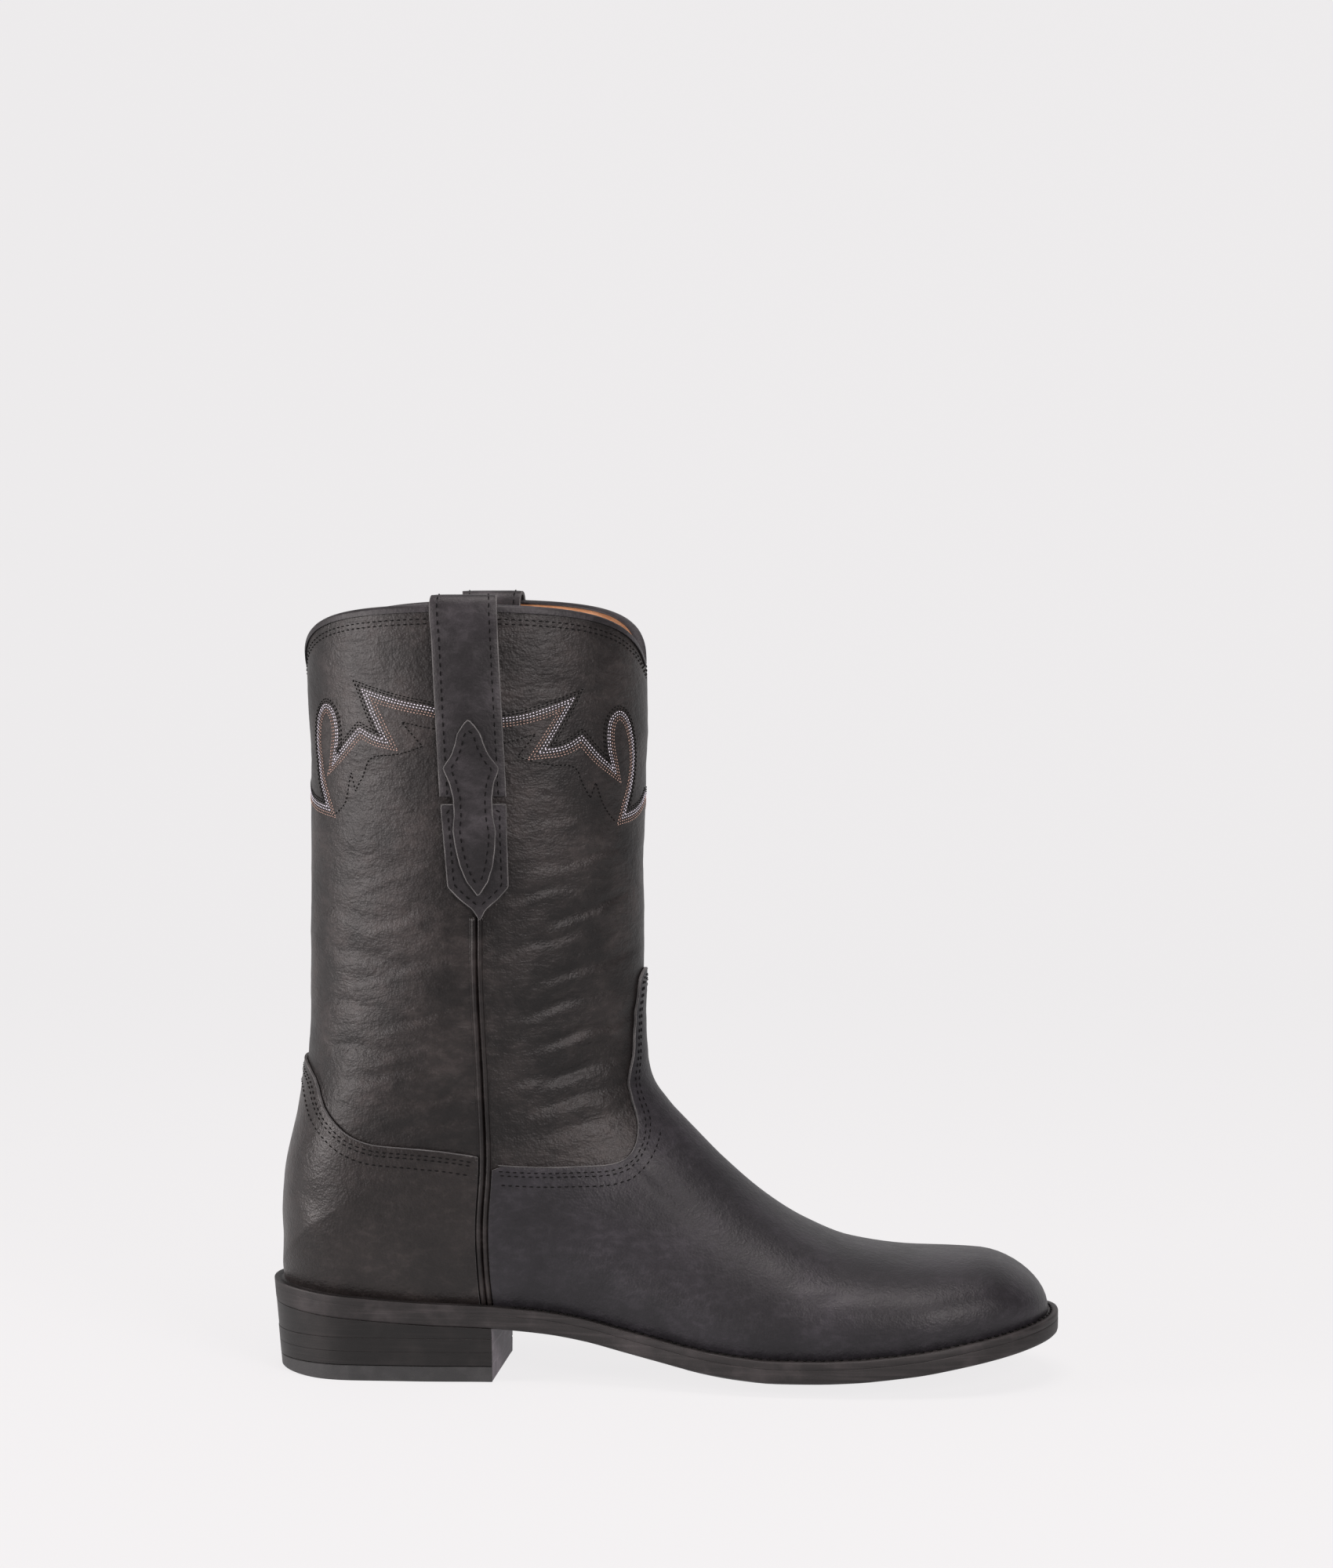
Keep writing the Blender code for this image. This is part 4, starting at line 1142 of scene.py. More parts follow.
class Finishes:
    """Materials of the whole boot."""

    def __init__(self) -> None:
        """Build each material once."""
        self.shaft = OiledLeather("shaft_leather").material()
        self.vamp = OiledLeather("vamp_leather", deep=(0.0062, 0.0058, 0.0069),
                                 rubbed=(0.047, 0.042, 0.051), roughness=0.46, mottle=0.45,
                                 wrinkle_depth=0.10 * MM, grain_depth=0.10 * MM).material()
        # Counter leather: its rubbed colour is set lighter than the shaft's, a painted highlight for the
        # counter's sheen on top of its random wear.
        self.counter = OiledLeather("counter_leather", wrinkle_depth=0.09 * MM,
                                    rubbed=(0.056, 0.046, 0.044), grain_depth=0.14 * MM,
                                    roughness=0.40, mottle=0.45).material()
        self.piping = OiledLeather("piping_leather", wrinkle_depth=0.03 * MM,
                                   grain_depth=0.03 * MM, roughness=0.32).material()
        self.strap = OiledLeather("strap_leather", deep=(0.0100, 0.0090, 0.0100),
                                  rubbed=(0.058, 0.052, 0.058), wrinkle_depth=0.05 * MM,
                                  grain_depth=0.08 * MM, roughness=0.48).material()
        self.raw_edge = RawEdge().material()
        self.waxed = WaxedEdge().material()
        self.sole_edge = WaxedEdge("sole_edge", (0.009, 0.008, 0.008), (0.055, 0.047, 0.048), 0.42).material()
        # Heel breast: a much lighter colour, painted light that lifts the forward-facing breast out of its
        # shade.
        self.breast_painted_light = WaxedEdge("heel_breast_painted_light", (0.050, 0.043, 0.050), (0.26, 0.23, 0.26), 0.5).material()
        self.rubber = HeelRubber().material()
        self.lining = LiningLeather().material()
        self.black_thread = Thread("black_thread", (0.0028, 0.0026, 0.0028), 0.75, 0.12).material()
        self.white_thread = Thread("pale_thread", (0.86, 0.82, 0.92)).material()
        self.rust_thread = Thread("rust_thread", (0.44, 0.29, 0.24)).material()


# Stitching


def spaced(path: Path, step: float) -> Path:
    """Path with its points set evenly, about a step apart."""
    lengths = [0.0]
    for a, b in zip(path, path[1:]):
        lengths.append(lengths[-1] + (b.place - a.place).length)
    count = max(2, round(lengths[-1] / step))
    result, k = [], 0
    for i in range(count + 1):
        reach = lengths[-1] * i / count
        while k < len(lengths) - 2 and lengths[k + 1] < reach:
            k += 1
        share = (reach - lengths[k]) / max(1e-9, lengths[k + 1] - lengths[k])
        place = path[k].place.lerp(path[k + 1].place, share)
        result.append(PathPoint(place, path[k].out.lerp(path[k + 1].out, share).normalized()))
    return result


@dataclass
class StitchRun:
    """Stitches of one thread, gathered in one piece."""

    name: str
    material: bpy.types.Material
    slot: str
    thickness: float = 0.52 * MM
    pitch: float = 2.7 * MM
    fill: float = 0.62
    sunk: float = 0.06 * MM
    flatness: float = 0.8

    def __post_init__(self) -> None:
        """Start with no stitches."""
        self.places: list[Matrix] = []

    def add(self, path: Path) -> None:
        """Lay stitches along a path.

        Args:
            path: Points on the leather with their directions out of it.
        """
        halves = spaced(path, self.pitch / 2)
        for before, middle, after in zip(halves[::2], halves[1::2], halves[2::2]):
            self.stitch(middle.place, after.place - before.place, middle.out, self.pitch)

    def stitch(self, place: Vector, ahead: Vector, out: Vector, pitch: float) -> None:
        """Keep the place of one stitch: a small long bead half sunk in the leather."""
        along = (ahead - out * ahead.dot(out)).normalized()
        half = self.thickness / 2
        flat = half * self.flatness
        matrix = Matrix((along * pitch * self.fill / 2, out.cross(along) * half, out * flat))
        matrix = matrix.transposed().to_4x4()
        matrix.translation = place + out * (flat - self.sunk)
        self.places.append(matrix)

    def finish(self) -> None:
        """Make the stitches from copies of one bead, as one piece."""
        if not self.places:
            return
        first = bmesh.new()
        bmesh.ops.create_uvsphere(first, u_segments=6, v_segments=4, radius=1.0)
        bead = [vertex.co.copy() for vertex in first.verts]
        mesh = bmesh.new()
        add_mesh(mesh, first)
        while len(mesh.verts) < len(bead) * len(self.places):
            bmesh.ops.duplicate(mesh, geom=mesh.verts[:] + mesh.edges[:] + mesh.faces[:])
        mesh.verts.ensure_lookup_table()
        wanted = len(bead) * len(self.places)
        bmesh.ops.delete(mesh, geom=mesh.verts[wanted:], context="VERTS")
        mesh.verts.ensure_lookup_table()
        for number, matrix in enumerate(self.places):
            for k, spot in enumerate(bead):
                mesh.verts[number * len(bead) + k].co = matrix @ spot
        bmesh.ops.recalc_face_normals(mesh, faces=mesh.faces)
        new_piece(self.name, mesh, (), self.slot, [self.material], smooth_angle=180)


@dataclass
class EdgeLine:
    """Light line along the cut edges of the leather, gathered in one piece: worn lighter edge colour together
    with a painted highlight along the edge.
    """

    name: str
    material: bpy.types.Material
    slot: str
    radius: float = 0.24 * MM
    step: float = 1.1 * MM
    around: int = 6
    merge: float = 0.002 * MM

    def __post_init__(self) -> None:
        """Start the mesh that the lines join."""
        self.mesh = bmesh.new()

    def add(self, path: Path) -> None:
        """Lay a thin round line along a path."""
        points = spaced(path, self.step)

        def place(column: int, row: int) -> Vector:
            point = points[row]
            before, after = points[max(0, row - 1)], points[min(len(points) - 1, row + 1)]
            across = (after.place - before.place).cross(point.out).normalized()
            angle = 2 * math.pi * column / self.around
            return point.place + (point.out * math.cos(angle) + across * math.sin(angle)) * self.radius

        line = mapped_grid(self.around + 1, len(points), place)
        add_mesh(self.mesh, closed(line, self.merge, capped=True))

    def finish(self) -> None:
        """Turn the gathered lines into a piece."""
        new_piece(self.name, self.mesh, (), self.slot, [self.material], smooth_angle=60)


# Upper


class Skin:
    """Dressed outside of the upper, which every overlay is cut from."""

    FOOT_STEP = 6
    SHAFT_STEP = 10
    TOE_STEPS = 12
    COLUMNS = 76
    TIP_MERGE = 0.02 * MM
    RAY_TRIES = 5
    RAY_START = 200 * MM
    RAY_STEP = 0.5 * MM
    SHAFT_MIDDLE = 38 * MM
    SHAFT_HALF_LENGTH = 66 * MM
    SHAFT_HALF_WIDTH = 50 * MM

    def __init__(self, form: BootForm, relief: Relief) -> None:
        """Build the fine sheet of the form with its creases."""
        self.form = form
        self.relief = relief
        toe = [1 - math.cos(math.pi / 2 * k / self.TOE_STEPS) for k in range(self.TOE_STEPS)]
        foot_rows = (form.foot_last - 1) * self.FOOT_STEP
        shaft_rows = (form.last - form.foot_last) * self.SHAFT_STEP
        foot = [1 + k / self.FOOT_STEP for k in range(foot_rows)]
        shaft = [form.foot_last + k / self.SHAFT_STEP for k in range(shaft_rows + 1)]
        self.stations = toe + foot + shaft
        self.sheet = self.build()
        self.tree = BVHTree.FromBMesh(self.sheet)

    def build(self) -> Mesh:
        """Map a grid on the form, then raise and sink it by the relief."""
        count = 2 * self.COLUMNS + 1

        def place(column: int, row: int) -> Vector:
            turn = abs(column - self.COLUMNS) * 2 / self.COLUMNS
            side = Side.OUTER if column < self.COLUMNS else Side.INNER
            return self.form.point(self.stations[row], turn, side)

        mesh = mapped_grid(count, len(self.stations), place)
        bmesh.ops.remove_doubles(mesh, verts=mesh.verts, dist=self.TIP_MERGE)
        mesh.normal_update()
        side_face = max(mesh.faces, key=lambda face: abs(face.calc_center_median().y))
        if side_face.normal.y * side_face.calc_center_median().y < 0:
            bmesh.ops.reverse_faces(mesh, faces=mesh.faces)
            mesh.normal_update()
        moves = []
        for vertex in mesh.verts:
            side = Side.OUTER if vertex.co.y < 0 else Side.INNER
            moves.append((vertex, vertex.normal * self.relief.height(vertex.co, side)))
        for vertex, move in moves:
            vertex.co += move
        mesh.normal_update()
        return mesh

    def copy(self) -> Mesh:
        """Copy of the fine sheet."""
        mesh = self.sheet.copy()
        mesh.normal_update()
        return mesh

    def from_side(self, x: float, z: float, side: Side) -> PathPoint:
        """Point of the skin seen from one side, also just under the skin's lower edge."""
        for k in range(self.RAY_TRIES):
            start = Vector((x, side.value * self.RAY_START, z + k * self.RAY_STEP))
            place, out, _, _ = self.tree.ray_cast(start, Vector((0, -side.value, 0)))
            if place is not None and place.y * side.value > 0:
                return PathPoint(Vector((x, place.y, z)), out)
        return PathPoint(Vector((x, 0, z)), Vector((0, side.value, 0)))

    def round_shaft(self, turn: float, z: float, side: Side) -> PathPoint:
        """Point of the shaft at a turn from the front line and a height."""
        angle = turn * math.pi / 2
        centre = Vector((self.SHAFT_MIDDLE, 0, z))
        out = Vector((self.SHAFT_HALF_LENGTH * math.cos(angle),
                      side.value * self.SHAFT_HALF_WIDTH * math.sin(angle), 0))
        place, normal, _, _ = self.tree.ray_cast(centre, out.normalized())
        if place is None:
            return PathPoint(centre + out, out.normalized())
        if normal.dot(out) < 0:
            normal = -normal
        return PathPoint(place, normal)


class Outlines:
    """Lines that the overlays end on, as signed distances in metres."""

    PIPING_WIDTH = 5.2 * MM
    JOIN = 9 * MM
    LINE_STEPS = 26
    TONGUE_STEPS = 24
    TONGUE_FOOT = 60 * MM
    TONGUE_BACK = 60 * MM
    BEHIND_HEEL = -80 * MM
    BEYOND_TOE = 320 * MM
    SLOPE_RUN = 12 * MM
    PAST_PIPING = 50 * MM
    UNDER_FLOOR = -50 * MM

    def __init__(self, sizes: BootSizes) -> None:
        """Read the tables into curves and outlines."""
        self.sizes = sizes
        piping = [self.in_side_view(row) for row in PIPING_LINE]
        self.piping = SmoothCurve([z for _, z in piping], [x for x, _ in piping])
        self.counter_corners = self.behind([self.in_side_view(row) for row in COUNTER_LINE])
        self.vamp_corners = self.ahead([self.in_side_view(row) for row in VAMP_LINE])
        half = [(row.across * sizes.ball_width, row.height * sizes.ankle_height) for row in TONGUE_OUTLINE]
        half = self.through([(half[0][0], self.TONGUE_FOOT)] + half, self.TONGUE_STEPS)
        self.tongue_corners = half + [(-y, z) for y, z in reversed(half[:-1])]

    def in_side_view(self, row: LinePoint) -> tuple[float, float]:
        """Place along and height of a point of a line, in metres."""
        sizes = self.sizes
        return sizes.heel_back + row.along * sizes.sole_length, row.height * sizes.ankle_height

    @staticmethod
    def through(points: Sequence[tuple[float, float]], count: int) -> list[tuple[float, float]]:
        """Smooth run of points through a short line, evenly by distance."""
        lengths = [0.0]
        for a, b in zip(points, points[1:]):
            lengths.append(lengths[-1] + math.dist(a, b))
        first = SmoothCurve(lengths, [point[0] for point in points])
        second = SmoothCurve(lengths, [point[1] for point in points])
        shares = [lengths[-1] * k / count for k in range(count + 1)]
        return [(first.at(share), second.at(share)) for share in shares]

    def behind(self, line: Sequence[tuple[float, float]]) -> list[tuple[float, float]]:
        """Outline of everything below a line, carried on behind the heel and past the piping."""
        points = self.through(line, self.LINE_STEPS)
        (start_x, start_z), (next_x, next_z), (end_x, end_z) = points[0], points[1], points[-1]
        back_z = start_z + (start_z - next_z) / (next_x - start_x) * self.SLOPE_RUN
        past, floor = end_x + self.PAST_PIPING, self.UNDER_FLOOR
        before = [(self.BEHIND_HEEL, back_z), (start_x - self.SLOPE_RUN, back_z)]
        return before + points + [(past, end_z), (past, floor), (self.BEHIND_HEEL, floor)]

    def ahead(self, line: Sequence[tuple[float, float]]) -> list[tuple[float, float]]:
        """Outline of everything below a line, carried on beyond the toe and past the piping."""
        points = self.through(line, self.LINE_STEPS)
        (start_x, start_z), (_, end_z) = points[0], points[-1]
        past, floor, toe = start_x - self.PAST_PIPING, self.UNDER_FLOOR, self.BEYOND_TOE
        return [(past, start_z)] + points + [(toe, end_z), (toe, floor), (past, floor)]

    def beside_piping(self, point: Vector, direction: int) -> float:
        """Distance behind (direction -1) or before (1) the piping's edge, positive outside."""
        edge = self.piping.at(point.z) + direction * self.PIPING_WIDTH / 2
        return (edge - point.x) * direction

    def counter_top(self, point: Vector) -> float:
        """Distance over the counter's line."""
        return signed_polygon(self.counter_corners, point.x, point.z)

    def vamp_top(self, point: Vector) -> float:
        """Distance over the vamp's line and outside its tongue."""
        body = signed_polygon(self.vamp_corners, point.x, point.z)
        if point.x < self.TONGUE_BACK:
            return body
        tongue = signed_polygon(self.tongue_corners, point.y, point.z)
        return soft_min(body, tongue, self.JOIN)


@dataclass
class Upper:
    """Shaft leather, lining, vamp and counter with their seams."""

    skin: Skin
    lines: Outlines
    finishes: Finishes
    leather: float = 1.2 * MM
    lining: float = 0.95 * MM
    overlay_lift: float = 0.15 * MM
    overlay: float = 1.25 * MM
    edge_round: float = 0.28 * MM
    first_row: float = 2.4 * MM
    second_row: float = 3.9 * MM
    third_row: float = 7.6 * MM
    third_row_top: float = 97 * MM
    edge_inside: float = 0.12 * MM
    edge_sunk: float = 0.6
    lining_gap: float = 0.05 * MM
    lining_share: float = 0.25
    piping_margin: float = 2.0 * MM

    def build(self) -> None:
        """Build every part of the upper."""
        self.shaft()
        self.inside()
        points = [vertex.co for vertex in self.skin.sheet.verts]
        behind = [self.lines.beside_piping(point, -1) for point in points]
        ahead = [self.lines.beside_piping(point, 1) for point in points]
        counter = [self.lines.counter_top(point) for point in points]
        vamp = [self.lines.vamp_top(point) for point in points]
        self.overlay_piece("counter", list(map(max, counter, behind)), self.finishes.counter)
        self.overlay_piece("vamp", list(map(max, vamp, ahead)), self.finishes.vamp)
        self.seams(counter, vamp)

    def shaft(self) -> None:
        """Outer leather over the whole form."""
        piece = new_piece("shaft_leather", self.skin.copy(), ("upper",), "upper",
                          [self.finishes.shaft, self.finishes.raw_edge])
        give_wall(piece, self.leather, outward=False, rim=1)

    def inside(self) -> None:
        """Tan lining under the leather."""
        mesh = self.skin.copy()
        lift_sheet(mesh, -self.leather - self.lining_gap)
        bmesh.ops.reverse_faces(mesh, faces=mesh.faces)
        piece = new_piece("shaft_lining", mesh, (), "upper", [self.finishes.lining])
        piece.modifiers.new("coarser", "DECIMATE").ratio = self.lining_share
        give_wall(piece, self.lining, outward=True)

    def overlay_piece(self, name: str, distances: Sequence[float], finish: bpy.types.Material) -> None:
        """Cut an overlay from the skin and give it its edge."""
        mesh = self.skin.copy()
        trim_sheet(mesh, distances)
        lift_sheet(mesh, self.overlay_lift)
        piece = new_piece(name + "_leather", mesh, (name,), name, [finish, self.finishes.raw_edge])
        give_wall(piece, self.overlay, round_edge=self.edge_round, rim=1)

    def seam_paths(self, distances: Sequence[float], inside: float,
                   keep: Callable[[Vector], bool]) -> list[Path]:
        """Paths on an overlay at a distance inside its edge."""
        mesh = self.skin.copy()
        on_line = trim_sheet(mesh, [distance + inside for distance in distances])
        paths = []
        for path in cut_paths(mesh, on_line):
            paths += kept_runs(path, keep)
        mesh.free()
        top = self.overlay_lift + self.overlay
        return [raised(path, top) for path in paths]

    def seams(self, counter: Sequence[float], vamp: Sequence[float]) -> None:
        """Rows of black thread beside the overlays' edges.

        Args:
            counter: Distance of each point of the skin over the counter's line.
            vamp: Distance of each point over the vamp's line.
        """
        run = StitchRun("upper_stitches", self.finishes.black_thread, "vamp")
        edges = EdgeLine("overlay_edges", self.finishes.raw_edge, "vamp")

        def behind(point: Vector) -> bool:
            return self.lines.beside_piping(point, -1) < -self.piping_margin

        def ahead(point: Vector) -> bool:
            return self.lines.beside_piping(point, 1) < -self.piping_margin

        def low_ahead(point: Vector) -> bool:
            return ahead(point) and point.z < self.third_row_top

        rows = ((self.first_row, ahead), (self.second_row, ahead), (self.third_row, low_ahead))
        for inside, vamp_keep in rows:
            for distances, keep in ((counter, behind), (vamp, vamp_keep)):
                for path in self.seam_paths(distances, inside, keep):
                    run.add(path)
        for distances, keep in ((counter, behind), (vamp, ahead)):
            for path in self.seam_paths(distances, self.edge_inside, keep):
                edges.add(raised(path, -edges.radius * self.edge_sunk))
        run.finish()
        edges.finish()


@dataclass
class SidePiping:
    """Two beads that cover the side seam, from the strap base to the welt."""

    skin: Skin
    lines: Outlines
    finishes: Finishes
    width: float = 5.2 * MM
    bead: float = 1.45 * MM
    bead_place: float = 0.46
    bead_half: float = 0.40
    web: float = 0.15 * MM
    base: float = 0.15 * MM
    over_welt: float = 0.4 * MM
    under_strap: float = 1.5 * MM
    leather: float = 0.5 * MM
    steps: int = 110
    columns: int = 17

    def build(self) -> None:
        """Build the piping of both sides."""
        for side in Side:
            self.strip(side)

    def profile(self, share: float) -> float:
        """Height of the strip across its width, share from -1 to 1."""
        beads = max(0.0, 1 - ((abs(share) - self.bead_place) / self.bead_half) ** 2) ** 0.5
        return self.bead * beads + self.web

    def strip(self, side: Side) -> None:
        """Piping of one side."""
        sizes = self.lines.sizes
        base_tip = sizes.boot_height - sizes.strap_drop * (1 + STRAP_BASE_TIP)
        low = self.skin.form.plan.top(self.lines.piping.at(0.0) - sizes.heel_back) + self.over_welt

        def place(column: int, row: int) -> Vector:
            share = 2 * column / (self.columns - 1) - 1
            z = low + (base_tip + self.under_strap - low) * row / (self.steps - 1)
            x = self.lines.piping.at(z)
            centre = self.skin.from_side(x, z, side)
            edge = self.skin.from_side(x + share * self.width / 2, z, side)
            return edge.place + centre.out * (self.base + self.profile(share))

        mesh = mapped_grid(self.columns, self.steps, place)
        mesh.normal_update()
        face_side(mesh, mesh.faces[:][0], side)
        name = f"side_piping_{side.label}"
        piece = new_piece(name + "_beads", mesh, (name,), "side_piping", [self.finishes.piping],
                          smooth_angle=60)
        give_wall(piece, self.leather, outward=False)


@dataclass
class CollarBinding:
    """Bound edge over the collar with its two rows of stitches."""

    skin: Skin
    finishes: Finishes
    height: float = 1.7 * MM
    inner_height: float = 0.3 * MM
    clear: float = 0.20 * MM
    leather: float = 0.55 * MM
    fold: float = 0.3 * MM
    tuck: float = 0.3
    taper: float = 0.9
    edge_rise: float = 0.12 * MM
    arc_rise: float = 0.1 * MM
    arc_flatness: float = 0.62
    arc_steps: int = 8
    station_step: float = 0.4
    turn_step: float = 0.01
    middle_x: float = 36 * MM
    ray_start: float = 10 * MM
    steps: int = 260
    stitch_rows: tuple[float, ...] = (4.2 * MM, 6.0 * MM)

    def frames(self) -> list[tuple[Vector, Vector, Vector]]:
        """Points round the collar with their outward and upward directions."""
        form = self.skin.form
        frames = []
        for k in range(self.steps):
            around = k / self.steps * 4 - 2
            side = Side.OUTER if around < 0 else Side.INNER
            turn = abs(around)
            top = form.point(form.last, turn, side)
            below = form.point(form.last - self.station_step, turn, side)
            near = form.point(form.last, min(2.0, turn + self.turn_step), side)
            back = form.point(form.last, max(0.0, turn - self.turn_step), side)
            up = (top - below).normalized()
            out = (near - back).cross(up).normalized()
            centre = Vector((self.middle_x, 0, top.z))
            if out.dot(top - centre) < 0:
                out = -out
            frames.append((top, out, up))
        return frames

    def build(self) -> None:
        """Build the binding and the rows below it."""
        frames = self.frames()
        wall = self.skin.form.sizes.wall
        near, far = self.clear * self.tuck, self.clear + self.leather
        angles = [math.pi * k / self.arc_steps for k in range(self.arc_steps + 1)]
        middle, reach = -wall / 2, wall / 2 + far
        section = [(near, -self.height), (far * self.taper, -self.height + self.edge_rise)]
        section += [(middle + reach * math.cos(angle),
                     self.arc_rise + reach * self.arc_flatness * math.sin(angle)) for angle in angles]
        section += [(-wall - far * self.taper, -self.inner_height), (-wall - near, -self.inner_height)]

        def place(column: int, row: int) -> Vector:
            point, out, up = frames[row % self.steps]
            across, rise = section[column]
            return point + out * across + up * rise

        mesh = closed(mapped_grid(len(section), self.steps + 1, place))
        binding = new_piece("collar_binding_fold", mesh, ("collar_binding",), "collar_binding",
                            [self.finishes.strap])
        give_wall(binding, self.fold, outward=False)
        run = StitchRun("collar_stitches", self.finishes.black_thread, "upper", pitch=2.6 * MM)
        for drop in self.stitch_rows:
            run.add(self.row(drop))
        run.finish()

    def row(self, drop: float) -> Path:
        """Path round the shaft at a distance under the collar."""
        path = []
        for point, out, up in self.frames() + self.frames()[:1]:
            start = point - up * drop + out * self.ray_start
            place, normal, _, _ = self.skin.tree.ray_cast(start, -out)
            if place is not None:
                path.append(PathPoint(place, normal))
        return path


@dataclass
class PullStraps:
    """Pull straps with their base pieces and spears on both sides."""

    skin: Skin
    finishes: Finishes
    thickness: float = 1.45 * MM
    clear: float = 0.25 * MM
    step_over: float = 1.55 * MM
    step_start: float = 2 * MM
    step_end: float = 12 * MM
    crest: float = 1.5 * MM
    crown: float = 0.22 * MM
    spear_gap: float = 0.1 * MM
    spear_thickness: float = 1.1 * MM
    base_seam: float = 2.5 * MM
    spear_seam: float = 2.6 * MM
    seam_share: float = 0.385
    seam_lift: float = 0.2 * MM
    edge_share: float = 0.496
    edge_sunk: float = 0.1 * MM
    columns: int = 15
    levels: int = 34
    fold_steps: int = 10
    inside_levels: int = 15
    patch_cell: float = 0.7 * MM
    patch_margin: float = 2 * MM
    patch_edge_inside: float = 0.15 * MM
    patch_edge_sunk: float = 0.12 * MM

    def build(self) -> None:
        """Build the straps of both sides with their stitches."""
        run = StitchRun("strap_stitches", self.finishes.black_thread, "strap", pitch=3.2 * MM)
        edges = EdgeLine("strap_edges", self.finishes.raw_edge, "strap")
        for side in Side:
            self.strap(side, run, edges)
            self.patch(f"strap_base_{side.label}", STRAP_BASE_HALF, side, self.clear,
                       self.thickness, self.base_seam, run, edges)
            self.patch(f"strap_spear_{side.label}", SPEAR_HALF, side,
                       self.clear + self.thickness + self.spear_gap,
                       self.spear_thickness, self.spear_seam, run, edges)
        run.finish()
        edges.finish()

    def end_height(self) -> float:
        """Height of the strap's lower end."""
        sizes = self.skin.form.sizes
        return sizes.boot_height - sizes.strap_drop

    def middle(self, z: float, side: Side) -> float:
        """Place along X of the strap's middle line at a height."""
        sizes = self.skin.form.sizes
        shift = sizes.strap_inner_shift if side is Side.INNER else 0.0
        lean = sizes.strap_slant * (sizes.boot_height - z) / sizes.strap_drop
        return sizes.heel_back + sizes.strap_place * sizes.sole_length + shift + lean

    def lift(self, drop: float) -> float:
        """Distance over the skin at a distance under the collar, where the strap steps over the binding."""
        fall = smooth_step(self.step_start, self.step_end, drop)
        return self.clear + (self.step_over - self.clear) * (1 - fall)

    def on_skin(self, side: Side, share: float, z: float) -> PathPoint:
        """Point of the skin under the strap, at a share of its width and a height."""
        x = self.middle(z, side) + share * self.skin.form.sizes.strap_width
        return self.skin.from_side(x, z, side)

    def centre_line(self, side: Side, share: float) -> Path:
        """Line down the strap at a share of its width, from outside over the collar to inside."""
        sizes = self.skin.form.sizes
        low, edge = self.end_height(), sizes.boot_height - self.crest
        path = []
        for k in range(self.levels + 1):
            z = low + (edge - low) * k / self.levels
            path += raised([self.on_skin(side, share, z)], self.lift(edge - z))
        top = path[-1]
        radius = self.step_over + sizes.wall / 2
        centre = top.place - top.out * radius
        up = Vector((0, 0, 1))
        for k in range(1, self.fold_steps):
            angle = math.pi * k / self.fold_steps
            out = top.out * math.cos(angle) + up * math.sin(angle)
            rise = up * self.crest * math.sin(angle)
            path.append(PathPoint(centre + out * radius + rise, out))
        for k in range(self.inside_levels + 1):
            z = edge - sizes.strap_inside_drop * k / self.inside_levels
            point = self.on_skin(side, share, z)
            path.append(PathPoint(point.place - point.out * (self.lift(edge - z) + sizes.wall), -point.out))
        return path

    def strap(self, side: Side, run: StitchRun, edges: EdgeLine) -> None:
        """Folded strap of one side."""
        lines = [self.centre_line(side, k / (self.columns - 1) - 0.5) for k in range(self.columns)]
        rows = len(lines[0])

        def place(column: int, row: int) -> Vector:
            share = abs(2 * column / (self.columns - 1) - 1)
            crown = self.crown * (1 - share ** 6)
            return lines[column][row].place + lines[column][row].out * crown

        mesh = mapped_grid(self.columns, rows, place)
        mesh.normal_update()
        face_side(mesh, min(mesh.faces, key=lambda face: face.calc_center_median().z), side)
        name = f"pull_strap_{side.label}"
        piece = new_piece(name + "_leather", mesh, (name,), "strap",
                          [self.finishes.strap, self.finishes.raw_edge], smooth_angle=50)
        give_wall(piece, self.thickness, round_edge=0.3 * MM, rim=1)
        for sign in (-1, 1):
            seam = self.centre_line(side, sign * self.seam_share)
            run.add(raised(seam, self.thickness + self.seam_lift))
            edge = self.centre_line(side, sign * self.edge_share)
            edges.add(raised(edge, self.thickness - self.edge_sunk))

    def outline(self, rows: Sequence[SidePoint], side: Side) -> list[tuple[float, float]]:
        """Outline of a piece of the strap in side view, from its back half."""
        sizes = self.skin.form.sizes
        points = []
        mirrored = [SidePoint(-row.across, row.below) for row in reversed(rows) if row.across]
        for row in list(rows) + mirrored:
            z = self.end_height() - row.below * sizes.strap_drop
            points.append((self.middle(z, side) + row.across * sizes.strap_width, z))
        return points

    def patch(self, name: str, rows: Sequence[SidePoint], side: Side, lift: float,
              thickness: float, seam: float, run: StitchRun, edges: EdgeLine) -> None:
        """Flat piece with an outline in side view, laid on the shaft.

        Args:
            name: Node that it stands for.
            rows: Back half of its outline.
            side: Side of the boot.
            lift: Distance over the skin.
            thickness: Thickness of the piece.
            seam: Distance of its stitches inside the edge.
            run: Stitches to add to.
            edges: Lines of the cut edges to add to.
        """
        corners = self.outline(rows, side)
        xs, zs, margin = [x for x, _ in corners], [z for _, z in corners], self.patch_margin
        low_x, low_z = min(xs) - margin, min(zs) - margin
        columns = int((max(xs) - low_x + margin) / self.patch_cell)
        levels = int((max(zs) - low_z + margin) / self.patch_cell)

        def place(column: int, row: int) -> Vector:
            return Vector((low_x + column * self.patch_cell, 0, low_z + row * self.patch_cell))

